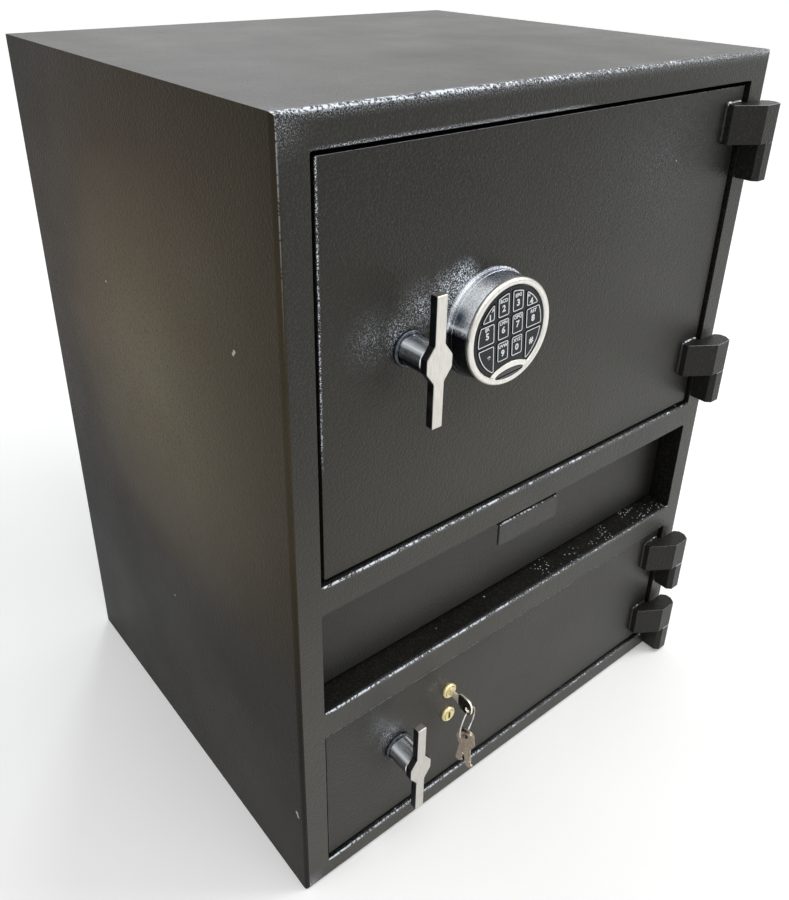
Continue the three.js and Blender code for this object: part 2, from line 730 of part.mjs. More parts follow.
function keyLocks(group) {
  const tops = [lowerOpening[1] - lockUpperDrop, lowerOpening[1] - lockUpperDrop - lockSpacing];
  ["upper", "lower"].forEach((which, i) => {
    const at = new THREE.Group();
    at.position.set(lockX, doorFace, tops[i]);
    group.add(at);
    const hornBack = hornLength - hornFront;
    const bore = plugRadius + runGap;
    const horn = turned([
      [bore, hornBack],
      [hornRadius, hornBack],
      [hornRadius, hornChamfer - hornFront],
      [hornRadius - hornChamfer, -hornFront],
      [bore, -hornFront],
      [bore, hornBack],
    ]);
    piece(at, "key_horn_" + which, horn, brass);
    const plug = rodY(0, 0, plugRadius, [-hornFront - plugProud, hornBack - overcut]);
    const keyway = block(
      [-bladeThickness / 2 - runGap, bladeThickness / 2 + runGap],
      [-hornFront - overcut, bladeInside + keywayWall],
      [-bladeHeight / 2 - runGap, bladeHeight / 2 + runGap],
    );
    piece(at, "key_plug_" + which, cut(plug, keyway), brass);
  });
  const middle = (tops[0] + tops[1]) / 2;
  piece(group, "lower_lock_case", lockCase(lockX, middle, lowerLockCase, tops), zincSteel);

  const keyY = doorFace - hornFront - plugProud;
  const keyAt = new THREE.Group();
  keyAt.position.set(lockX, keyY, tops[0]);
  group.add(keyAt);
  piece(keyAt, "key_inserted", keySolid(bladeInside + hornFront + plugProud, -bowHoleDrop), nickel);

  const hang = bowHoleRadius - ringWire - ringSeat;
  const hook = [lockX, keyY + bowHoleInset - shankLength - bowLength, tops[0] - bowHoleDrop - hang];
  const ringAt = new THREE.Group();
  ringAt.position.set(hook[0], hook[1], hook[2] - ringRadius);
  ringAt.rotation.z = ringTurn;
  group.add(ringAt);
  const ring = new THREE.TorusGeometry(ringRadius, ringWire, 6, 30).rotateX(Math.PI / 2);
  piece(ringAt, "key_ring", solid(ring), nickel);
  ["a", "b"].forEach((which, i) => {
    const side = i * 2 - 1;
    const spareAt = new THREE.Group();
    spareAt.position.set(side * spareOffset, 0, -ringRadius);
    spareAt.rotation.x = side * spareTilt - Math.PI / 2;
    ringAt.add(spareAt);
    const spare = keySolid(spareLength - shankLength, 0);
    const holeY = bowHoleInset - shankLength - bowLength;
    piece(spareAt, "key_spare_" + which, spare.translate([0, hang - holeY, 0]), nickel);
  });
}

// The tilting hopper: front panel, pull, and a sheet tray whose cheeks turn on the rod.
function hopper(group) {
  const panelHalf = openingHalf - hopperSideGap;
  const panelZ = [recess[0] + hopperBottomGap, recess[1] - hopperTopGap];
  const face = front + hopperDepth;
  const panelBack = face + hopperPlate;
  piece(group, "hopper_front", block([-panelHalf, panelHalf], [face, panelBack], panelZ), black);

  const lip = front + doorRecess;
  const pullTop = recess[1] - pullDrop;
  const profile = outline([
    [lip, pullTop - pullHeight],
    [lip + pullPlate, pullTop - pullHeight],
    [lip + pullPlate, pullTop - pullPlate, sheetBend],
    [face - weldGap, pullTop - pullPlate],
    [face - weldGap, pullTop],
    [lip, pullTop, pullBend],
  ]);
  const angle = prismX(profile, [-pullWidth / 2, pullWidth / 2]);
  const lipShape = rectangle(
    [-pullWidth / 2, pullWidth / 2],
    [pullTop - pullHeight, pullTop + 2 * pullCorner],
    pullCorner,
  );
  const rounded = angle.intersect(prismY(lipShape, [lip - overcut, panelBack]));
  piece(group, "hopper_pull", rounded, black);

  const pivot = [front + hopperPivotDepth, recess[0] + hopperPivotRise];
  const startY = panelBack + weldGap;
  const startZ = panelZ[0] + weldGap;
  const run = trayLength * Math.cos(traySlope);
  const fall = trayLength * Math.sin(traySlope);
  const thick = traySheet / Math.cos(traySlope);
  const floorLine = outline([
    [startY, startZ],
    [startY, startZ - thick],
    [startY + run, startZ - fall - thick],
    [startY + run, startZ - fall],
  ]);
  const cheekTop = recess[1] - trayTopDrop;
  const cheek = outline([
    [startY, startZ - thick],
    [startY + run, startZ - fall - thick],
    [startY + run, startZ - fall + trayEnd, trayEndRound],
    [startY + trayTop, cheekTop, trayTopRound],
    [startY, cheekTop, trayFrontRound],
  ]);
  const cheeks = [-panelHalf, panelHalf - traySheet].map((x) => prismX(cheek, [x, x + traySheet]));
  const bore = rodX(...pivot, rodRadius + runGap, [-panelHalf - overcut, panelHalf + overcut]);
  const floor = prismX(floorLine, [-panelHalf, panelHalf]);
  piece(group, "hopper_tray", cut(join(floor, ...cheeks), bore), black);
}

// Fixed walls of the chute, the rod that they carry and the plate that stops fishing.
function chute(group) {
  const inner = openingHalf + sheet + weldGap;
  const wallY = [front + sheet + weldGap, front + chuteDepth];
  const wallZ = [lowerOpening[1] + sheet + weldGap, upperOpening[0] - sheet - weldGap];
  const pivot = [front + hopperPivotDepth, recess[0] + hopperPivotRise];
  const bore = rodX(...pivot, rodRadius + runGap, [-innerHalf, innerHalf]);
  const sides = { left: [-inner - sheet, -inner], right: [inner, inner + sheet] };
  for (const [side, x] of Object.entries(sides)) {
    piece(group, "chute_wall_" + side, cut(block(x, wallY, wallZ), bore), black);
  }
  const end = inner + sheet;
  piece(group, "hopper_rod", rodX(...pivot, rodRadius, [-end, end]), zincSteel);
  const plate = inner - weldGap;
  const baffleY = [front + baffleDepth, front + baffleDepth + sheet];
  const baffle = block([-plate, plate], baffleY, [recess[0] + baffleRise, wallZ[1]]);
  piece(group, "anti_fish_baffle", baffle, black);
}

function knuckles(group, name, tops) {
  tops.forEach((top, i) => {
    piece(group, name + "_hinge_knuckle_" + (i + 1), hingeKnuckle(top), black);
  });
}

// Heights of evenly spaced bolts about the middle of an opening.
function boltHeights([z0, z1], count, spacing) {
  return Array.from({ length: count }, (_, i) => (z0 + z1) / 2 + (i - (count - 1) / 2) * spacing);
}

const safe = new THREE.Group();
cabinet(safe);
chute(safe);
hopper(safe);

const upperHinges = [upperOpening[1] - upperHingeDrop, upperOpening[0] + upperHingeRise];
const lowerHinges = [lowerOpening[1] - lowerHingeDrop, lowerOpening[0] + lowerHingeRise];
knuckles(safe, "upper", upperHinges);
knuckles(safe, "lower", lowerHinges);

const upperDoor = new THREE.Group();
const padZ = upperOpening[1] - padDrop;
door(upperDoor, "upper", upperOpening, upperHinges, [
  [handleX, upperHandleZ, shaftRadius + runGap],
  [padX, padZ, padCableRadius],
]);
handle(upperDoor, "upper", upperHandleZ);
boltwork(upperDoor, "upper", upperHandleZ, boltHeights(upperOpening, 3, upperBoltPitch));
keypad(upperDoor, padZ);
piece(upperDoor, "upper_lock_case", lockCase(padX, padZ, upperLockCase, []), zincSteel);
safe.add(upperDoor);

const lowerDoor = new THREE.Group();
const lockTop = lowerOpening[1] - lockUpperDrop;
door(lowerDoor, "lower", lowerOpening, lowerHinges, [
  [handleX, lowerHandleZ, shaftRadius + runGap],
  [lockX, lockTop, hornRadius + weldGap],
  [lockX, lockTop - lockSpacing, hornRadius + weldGap],
]);
handle(lowerDoor, "lower", lowerHandleZ);
boltwork(lowerDoor, "lower", lowerHandleZ, boltHeights(lowerOpening, 2, lowerBoltPitch));
keyLocks(lowerDoor);
safe.add(lowerDoor);

export default safe;
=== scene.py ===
import json
import math

import bpy
from mathutils import Matrix, Vector


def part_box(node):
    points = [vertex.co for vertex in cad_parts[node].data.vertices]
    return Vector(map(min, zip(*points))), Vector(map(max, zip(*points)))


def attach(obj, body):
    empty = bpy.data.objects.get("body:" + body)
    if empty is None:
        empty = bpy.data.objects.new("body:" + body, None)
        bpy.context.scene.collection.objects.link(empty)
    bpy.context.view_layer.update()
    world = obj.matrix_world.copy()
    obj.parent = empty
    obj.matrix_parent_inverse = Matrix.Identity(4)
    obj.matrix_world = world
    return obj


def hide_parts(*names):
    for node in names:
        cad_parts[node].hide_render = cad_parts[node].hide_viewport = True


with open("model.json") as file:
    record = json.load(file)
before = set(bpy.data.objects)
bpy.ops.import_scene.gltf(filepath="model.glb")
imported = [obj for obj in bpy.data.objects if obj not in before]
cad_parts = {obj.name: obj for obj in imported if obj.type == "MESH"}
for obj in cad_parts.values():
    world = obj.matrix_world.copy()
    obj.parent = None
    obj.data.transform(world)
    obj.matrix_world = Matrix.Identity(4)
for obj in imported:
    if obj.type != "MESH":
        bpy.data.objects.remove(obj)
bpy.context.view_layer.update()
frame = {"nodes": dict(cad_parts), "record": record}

nodes = frame["nodes"]
scene = bpy.context.scene
scene.view_settings.view_transform = "Standard"
print("frame loaded:", len(nodes), "nodes")

# Places shared with the solid model, in metres
doorFace = -0.2254
frontFace = -0.2286
sideFace = -0.2667
openingHalf = 0.2413
padCentre = Vector((-0.0772, doorFace, 0.5313))
padTurn = Matrix.Rotation(math.radians(-4), 4, "Y")
handleX = -0.1575
handleHeights = {"upper": 0.532, "lower": 0.113}
lockX = -0.093
lockHeights = {"upper": 0.1425, "lower": 0.1105}


def clearSelection():
    if bpy.context.object and bpy.context.object.mode != "OBJECT":
        bpy.ops.object.mode_set(mode="OBJECT")
    bpy.ops.object.select_all(action="DESELECT")
    scene.tool_settings.mesh_select_mode = (True, False, False)


def takeUp(obj):
    clearSelection()
    obj.select_set(True)
    bpy.context.view_layer.objects.active = obj
    return obj


def give(thing, **values):
    for key, value in values.items():
        setattr(thing, key, value)
    return thing


def addObject(name, data):
    obj = bpy.data.objects.new(name, data)
    scene.collection.objects.link(obj)
    return takeUp(obj)


def selectAll():
    bpy.ops.mesh.select_all(action="SELECT")


# Edit mode, with the whole mesh selected
def openMesh(obj):
    takeUp(obj)
    bpy.ops.object.mode_set(mode="EDIT")
    selectAll()


# Back to object mode, with the faces turned outwards unless they are so already
def closeMesh(turnOut=True):
    if turnOut:
        selectAll()
        bpy.ops.mesh.normals_make_consistent(inside=False)
    bpy.ops.object.mode_set(mode="OBJECT")


def settle(obj):
    takeUp(obj)
    bpy.ops.object.transform_apply(location=True, rotation=True, scale=True)
    return obj


def smooth(obj, angle):
    takeUp(obj)
    bpy.ops.object.shade_smooth_by_angle(angle=math.radians(angle))
    return obj


def applyModifier(obj, kind, **values):
    takeUp(obj)
    change = give(obj.modifiers.new(kind, kind), **values)
    bpy.ops.object.modifier_apply(modifier=change.name)
    return obj


def roundEdges(obj, width, segments=2, angle=35):
    limit = math.radians(angle)
    applyModifier(obj, "BEVEL", width=width, segments=segments, limit_method="ANGLE", angle_limit=limit)
    return levelFaces(smooth(obj, 40))


# Keeps the large faces flat beside their rounded edges
def levelFaces(obj):
    return applyModifier(obj, "WEIGHTED_NORMAL", keep_sharp=True)


def joinPieces(first, *others):
    takeUp(first)
    for other in others:
        other.select_set(True)
    bpy.ops.object.join()
    return first


def paint(obj, *materials):
    obj.data.materials.clear()
    for material in materials:
        obj.data.materials.append(material)


# Puts a piece on its body, with its finish, and in place of the solids that it replaces
def fit(obj, body, slotName, material, *replaced):
    if material is not None:
        paint(obj, material)
    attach(obj, body)
    if replaced:
        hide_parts(*replaced)
    return obj


mergeGap = 0.000002  # points nearer than this are one
flatAngle = math.radians(0.4)  # faces that meet flatter than this are one


# A merged copy of a solid from the frame, ready for bevels and insets
def cadCopy(node, name):
    obj = addObject(name, nodes[node].data.copy())
    openMesh(obj)
    bpy.ops.mesh.remove_doubles(threshold=mergeGap)
    bpy.ops.mesh.dissolve_limited(angle_limit=flatAngle)
    closeMesh(turnOut=False)
    return obj


# A profile of (radius, depth) points spun about the Y axis through a centre
def spunPiece(name, profile, centre, steps):
    clearSelection()
    bpy.ops.mesh.primitive_plane_add(size=0.01, location=centre)
    obj = bpy.context.object
    obj.name = name
    openMesh(obj)
    bpy.ops.mesh.merge(type="CENTER")
    bpy.ops.transform.translate(value=(profile[0][0], profile[0][1], 0))
    for before, after in zip(profile, profile[1:]):
        step = (after[0] - before[0], after[1] - before[1], 0)
        bpy.ops.mesh.extrude_vertices_move(TRANSFORM_OT_translate={"value": step})
    selectAll()
    bpy.ops.mesh.spin(steps=steps, angle=2 * math.pi, center=centre, axis=(0, 1, 0))
    selectAll()
    bpy.ops.mesh.remove_doubles(threshold=mergeGap)
    closeMesh()
    settle(obj)
    return smooth(obj, 32)


# A flat outline of (across, up) points drawn out along Y
def cutPlate(name, outline, thickness, centre):
    clearSelection()
    bpy.ops.mesh.primitive_circle_add(vertices=len(outline), radius=0.01, fill_type="NGON")
    obj = bpy.context.object
    obj.name = name
    for vertex, (across, up) in zip(obj.data.vertices, outline):
        vertex.co = (across, 0, up)
    openMesh(obj)
    bpy.ops.mesh.extrude_region_move(TRANSFORM_OT_translate={"value": (0, thickness, 0)})
    closeMesh()
    obj.location = centre
    return settle(obj)


# Points of an arc about a centre, from one angle to another
def arcPoints(across, up, halfWidth, halfHeight, start, end, steps):
    angles = [start + (end - start) * i / steps for i in range(steps + 1)]
    return [(across + halfWidth * math.cos(angle), up + halfHeight * math.sin(angle)) for angle in angles]


# A curve or a text made a mesh
def curveMesh(name, curve):
    addObject(name, curve)
    bpy.ops.object.convert(target="MESH")
    return bpy.context.object


# Round wire along a route of places, each with its share of the radius
def wirePiece(name, route, radius):
    path = bpy.data.curves.new(name, "CURVE")
    give(path, dimensions="3D", bevel_depth=radius, bevel_resolution=3, use_fill_caps=True)
    line = path.splines.new("POLY")
    line.points.add(len(route) - 1)
    for point, (place, share) in zip(line.points, route):
        point.co = (*place, 1)
        point.radius = share
    return curveMesh(name, path)


def newFinish(name):
    finish = bpy.data.materials.new(name)
    finish.use_nodes = True
    tree = finish.node_tree
    place = tree.nodes.new("ShaderNodeTexCoord").outputs["Object"]
    return finish, tree, tree.nodes["Principled BSDF"], place


def addNode(tree, kind, links=None, **values):
    made = tree.nodes.new("ShaderNode" + kind)
    for key, value in values.items():
        if key in made.inputs:
            made.inputs[key].default_value = value
        else:
            setattr(made, key, value)
    for key, source in (links or {}).items():
        tree.links.new(source, made.inputs[key])
    return made


def noise(tree, place, scale, detail=2.0, rough=0.5, seed=(0, 0, 0)):
    moved = addNode(tree, "Mapping", {"Vector": place}, Location=seed).outputs[0]
    made = addNode(tree, "TexNoise", {"Vector": moved}, Scale=scale, Detail=detail, Roughness=rough)
    return made.outputs["Fac"]


def ramp(tree, source, low, high, dark=(0, 0, 0), light=(1, 1, 1)):
    made = addNode(tree, "ValToRGB", {"Fac": source})
    made.color_ramp.elements[0].position = low
    made.color_ramp.elements[0].color = (*dark, 1)
    made.color_ramp.elements[1].position = high
    made.color_ramp.elements[1].color = (*light, 1)
    return made.outputs["Color"]


# Sets a node's sockets to colours or numbers, or links them to other nodes' outputs
def feed(tree, node, values):
    for socket, value in values.items():
        if isinstance(value, tuple):
            node.inputs[socket].default_value = (*value, 1)
        elif isinstance(value, (int, float)):
            node.inputs[socket].default_value = value
        else:
            tree.links.new(value, node.inputs[socket])
    return node


def mixColours(tree, amount, first, second):
    made = addNode(tree, "Mix", data_type="RGBA")
    return feed(tree, made, {0: amount, 6: first, 7: second}).outputs[2]


def maths(tree, operation, first, second=0.0, clamp=False):
    made = addNode(tree, "Math", operation=operation, use_clamp=clamp)
    return feed(tree, made, {0: first, 1: second}).outputs[0]


def times(tree, first, second, clamp=False):
    return maths(tree, "MULTIPLY", first, second, clamp)


# Nearness to a point: 1 at the point, 0 at the radius
def nearTo(tree, place, point, radius):
    gap = addNode(tree, "VectorMath", {0: place}, operation="DISTANCE")
    gap.inputs[1].default_value = point
    return maths(tree, "SUBTRACT", 1.0, maths(tree, "DIVIDE", gap.outputs["Value"], radius), True)


# Scattered dots: a share of the cells of a grid of points has one
def dots(tree, place, scale, size, share):
    cells = addNode(tree, "TexVoronoi", {"Vector": place}, Scale=scale, Randomness=1.0)
    near = maths(tree, "LESS_THAN", cells.outputs["Distance"], size)
    pick = addNode(tree, "SeparateColor", {"Color": cells.outputs["Color"]}).outputs[0]
    return times(tree, near, maths(tree, "LESS_THAN", pick, share))


coatLook = {
    "dark": (0.0062, 0.006, 0.0055),
    "light": (0.0115, 0.011, 0.0096),
    "cloudScale": 4.5,
    "warmthScale": 7,
    # Lighter specks in the coat: its speckled texture, with its sparkle painted in
    "grain": (0.034, 0.0335, 0.031),
    "grainScale": 620,
    "grainShare": 0.75,
    "glint": (0.72, 0.77, 0.85),
    "glintScale": 1050,
    # The painted glints on the bends: their grain and how they thin out to the right
    "wearScale": 400,
    "wearFall": 0.42,  # how many fewer painted glints there are a metre to the right
    "dust": (0.6, 0.63, 0.68),
    "dustScale": 400,
    "dustShare": 0.85,
    "bare": (0.55, 0.56, 0.55),
    "bareScale": 900,
    "bareShare": 0.8,
    "roughness": (0.3, 0.38),
    "sheenScale": 9,
    "sheenTint": (1.0, 0.985, 0.9),
    "peelScale": 520,
    "lumpScale": 240,
    "peelDepth": 0.0009,
}


# Painted glints where a surface bends from the front to the top, fewer of them to the right
def bendGlints(tree, place, normal, paintedGlintShare):
    lean = addNode(tree, "VectorMath", {0: normal}, operation="DOT_PRODUCT")
    lean.inputs[1].default_value = (0, -0.7071, 0.7071)
    bend = ramp(tree, lean.outputs["Value"], 0.76, 0.9)
    across = addNode(tree, "SeparateXYZ", {"Vector": place}).outputs["X"]
    share = maths(tree, "SUBTRACT", paintedGlintShare, times(tree, across, coatLook["wearFall"]))
    grains = noise(tree, place, coatLook["wearScale"], 2, 0.6, (3, 1, 2))
    loose = noise(tree, place, 60, 2, 0.5, (6, 2, 1))
    grains = maths(tree, "ADD", grains, times(tree, loose, 0.4))
    above = maths(tree, "SUBTRACT", maths(tree, "ADD", grains, share), 1.2)
    return times(tree, bend, times(tree, above, 14.0, True))


# Black textured powder coat: orange peel, uneven sheen, painted glints, and dust on what faces up.
# A painted reflection, a lighter or warmer patch, is (point, radius, colour); a dusty place or chip is
# (point, radius)
def powderCoat(
    name, gloss, paintedGlintShare=0.5, tint=coatLook["sheenTint"], paintedReflections=(), glints=(), dust=(), chips=()
):
    look = coatLook
    finish, tree, shader, place = newFinish(name)
    normal = addNode(tree, "TexCoord").outputs["Normal"]
    slow = noise(tree, place, look["cloudScale"], 3, 0.55)
    colour = ramp(tree, slow, 0.3, 0.7, look["dark"], look["light"])
    # Painted reflections of the room: lighter, warmer patches on the coat
    for point, radius, tone in paintedReflections:
        near = nearTo(tree, place, point, radius)
        cloud = noise(tree, place, look["warmthScale"], 3, 0.55, (2, 2, 4))
        cloud = ramp(tree, cloud, 0.2, 0.8, (0.6,) * 3, (1,) * 3)
        colour = mixColours(tree, times(tree, near, cloud), colour, tone)
    fine = noise(tree, place, look["peelScale"], 2.5, 0.55)
    height = maths(tree, "ADD", fine, times(tree, noise(tree, place, look["lumpScale"], 1), 0.3))
    bump = addNode(tree, "Bump", {"Height": height}, Strength=0.7, Distance=look["peelDepth"])
    # Lighter specks: the coat's texture, with its sparkle painted in
    grain = ramp(tree, noise(tree, place, look["grainScale"], 2, 0.6, (1, 7, 3)), 0.5, 0.72)
    colour = mixColours(tree, times(tree, grain, look["grainShare"]), colour, look["grain"])

    # Painted glints along the bends, then the painted glint patches and lines
    amount = bendGlints(tree, place, normal, paintedGlintShare)
    specks = ramp(tree, noise(tree, place, look["glintScale"], 2, 0.6, (7, 2, 5)), 0.5, 0.68)
    for spot in glints:
        flat = addNode(tree, "Mapping", {"Vector": place}, Scale=spot.get("axes", (1, 1, 1))).outputs[0]
        near = nearTo(tree, flat, spot["point"], spot["radius"])
        near = times(tree, near, near)
        if "reach" in spot:
            near = times(tree, near, times(tree, nearTo(tree, place, *spot["reach"]), 4.0, True))
        soft = times(tree, times(tree, near, specks), spot["amount"], True)
        amount = maths(tree, "MAXIMUM", amount, soft)
    colour = mixColours(tree, amount, colour, look["glint"])

    crumbs = dots(tree, place, 34, 0.022, 0.05)  # a stray speck here and there
    if dust:
        level = addNode(tree, "SeparateXYZ", {"Vector": normal}).outputs["Z"]
        level = maths(tree, "GREATER_THAN", level, 0.9)
        strewn = dots(tree, place, look["dustScale"], 0.32, 0.34)
        clumps = ramp(tree, noise(tree, place, 38, 2, 0.5, (1, 4, 2)), 0.48, 0.6)
        strewn = times(tree, strewn, clumps)
        lone = times(tree, level, dots(tree, place, 120, 0.12, 0.06))
        crumbs = maths(tree, "MAXIMUM", crumbs, lone)
        for point, radius in dust:
            near = times(tree, nearTo(tree, place, point, radius), 3.0, True)
            crumbs = maths(tree, "MAXIMUM", crumbs, times(tree, times(tree, near, strewn), level))
    colour = mixColours(tree, times(tree, crumbs, look["dustShare"]), colour, look["dust"])

    bare = None  # small places where the paint is knocked off
    ragged = times(tree, noise(tree, place, look["bareScale"], 2, 0.7, (4, 4, 9)), 0.5)
    for point, radius in chips:
        near = maths(tree, "SUBTRACT", nearTo(tree, place, point, radius), ragged)
        spot = times(tree, maths(tree, "SUBTRACT", near, 0.3), 12.0, True)
        bare = spot if bare is None else maths(tree, "MAXIMUM", bare, spot)
    if bare is not None:
        colour = mixColours(tree, times(tree, bare, look["bareShare"]), colour, look["bare"])

    low, high = look["roughness"]
    sheen = noise(tree, place, look["sheenScale"], 3, 0.6, (5, 5, 1))
    sheen = ramp(tree, sheen, 0.3, 0.7, (low,) * 3, (high,) * 3)
    rough = mixColours(tree, crumbs, sheen, (0.8, 0.8, 0.8))
    feed(tree, shader, {"Base Color": colour, "Roughness": rough, "Normal": bump.outputs["Normal"]})
    feed(tree, shader, {"IOR": 1.5, "Specular IOR Level": gloss, "Specular Tint": tint})
    return finish


# Plated metal with a fine grain, which "streak" stretches, and painted light. Each painted patch is (point,
# radius, amount, colour, own shine), a painted reflection; the lower level is (level, sharpness, colour),
# painted shade below it;
# and the painted line is (level, half its width, colour, own shine), a painted highlight
def platedMetal(name, **look):
    finish, tree, shader, place = newFinish(name)
    shader.inputs["Metallic"].default_value = 1.0
    paintedShine = None  # where the metal is made less metallic, so that its painted highlights show rather than the dark door mirrored in it
    moved = addNode(tree, "Mapping", {"Vector": place}, Scale=look.get("streak", (1, 1, 1))).outputs[0]
    made = addNode(tree, "TexNoise", {"Vector": moved}, Scale=look["scale"], Detail=3.0, Roughness=0.6)
    grain = made.outputs["Fac"]
    low, high = look.get("contrast", (0.25, 0.75))
    colour = ramp(tree, grain, low, high, look["dark"], look["light"])
    height = addNode(tree, "SeparateXYZ", {"Vector": place}).outputs["Z"]
    for point, radius, amount, tone, shine in look.get("spots", ()):  # painted reflections of the room and the door
        near = times(tree, nearTo(tree, place, point, radius), amount, True)
        colour = mixColours(tree, near, colour, tone)
        if shine:
            paintedShine = times(tree, times(tree, near, grain), shine)
    if "lower" in look:  # painted shade: the darker half below a level, a painted reflection of the dark door
        level, sharpness, tone = look["lower"]
        below = times(tree, maths(tree, "SUBTRACT", height, level), -sharpness, True)
        colour = mixColours(tree, below, colour, tone)
    if "band" in look:  # a painted highlight: a bright line along the piece
        level, half, tone, shine = look["band"]
        away = maths(tree, "ABSOLUTE", maths(tree, "SUBTRACT", height, level))
        line = maths(tree, "SUBTRACT", 1.0, maths(tree, "DIVIDE", away, half), True)
        colour = mixColours(tree, line, colour, tone)
        line = times(tree, line, shine)
        paintedShine = line if paintedShine is None else maths(tree, "MAXIMUM", paintedShine, line)
    if paintedShine is not None:
        tree.links.new(maths(tree, "SUBTRACT", 1.0, paintedShine, True), shader.inputs["Metallic"])
    if "sides" in look:  # faces towards the left and right, painted darker as painted shade
        normal = addNode(tree, "TexCoord").outputs["Normal"]
        lean = maths(tree, "ABSOLUTE", addNode(tree, "SeparateXYZ", {"Vector": normal}).outputs["X"])
        colour = mixColours(tree, ramp(tree, lean, 0.55, 0.85), colour, look["sides"])
    tarnish = ramp(tree, noise(tree, place, 35, 3, 0.6), 0.55, 0.8)
    colour = mixColours(tree, times(tree, tarnish, look["tarnish"]), colour, look["stain"])
    low, high = look["roughness"]
    rough = ramp(tree, grain, 0.3, 0.75, (low,) * 3, (high,) * 3)
    bump = addNode(tree, "Bump", {"Height": grain}, Strength=look["bump"], Distance=0.0002)
    feed(tree, shader, {"Base Color": colour, "Roughness": rough, "Normal": bump.outputs["Normal"]})
    return finish


def mouldedPlastic(name, **look):
    finish, tree, shader, place = newFinish(name)
    cloud = noise(tree, place, 60, 3, 0.6)
    colour = ramp(tree, cloud, 0.3, 0.7, look["dark"], look["light"])
    low, high = look["roughness"]
    rough = ramp(tree, cloud, 0.35, 0.7, (low,) * 3, (high,) * 3)
    grain = noise(tree, place, look["grain"], 2, 0.5)
    bump = addNode(tree, "Bump", {"Height": grain}, Strength=look["bump"], Distance=0.0001)
    feed(tree, shader, {"Base Color": colour, "Roughness": rough, "Normal": bump.outputs["Normal"]})
    gloss, coat = look.get("gloss", 0.5), look.get("coat", 0.0)
    feed(tree, shader, {"Specular IOR Level": gloss, "Coat Weight": coat, "Coat Roughness": 0.08})
    return finish


# A patch of glints round a point, or a line of them: "axes" leave out its own axis, and "reach" is its
# middle and half its length
def glint(point, radius, amount, **line):
    return {"point": point, "radius": radius, "amount": amount, **line}


alongX, alongZ = (0, 1, 1), (1, 1, 0)
sillLip = {"depth": -0.2277, "heights": (0.3508, 0.2143, 0.0213)}
sillGlints = []
for height in sillLip["heights"]:
    middle = (0, sillLip["depth"], height)
    sillGlints.append(glint(middle, 0.0045, 0.9, axes=alongX, reach=(middle, openingHalf + 0.001)))
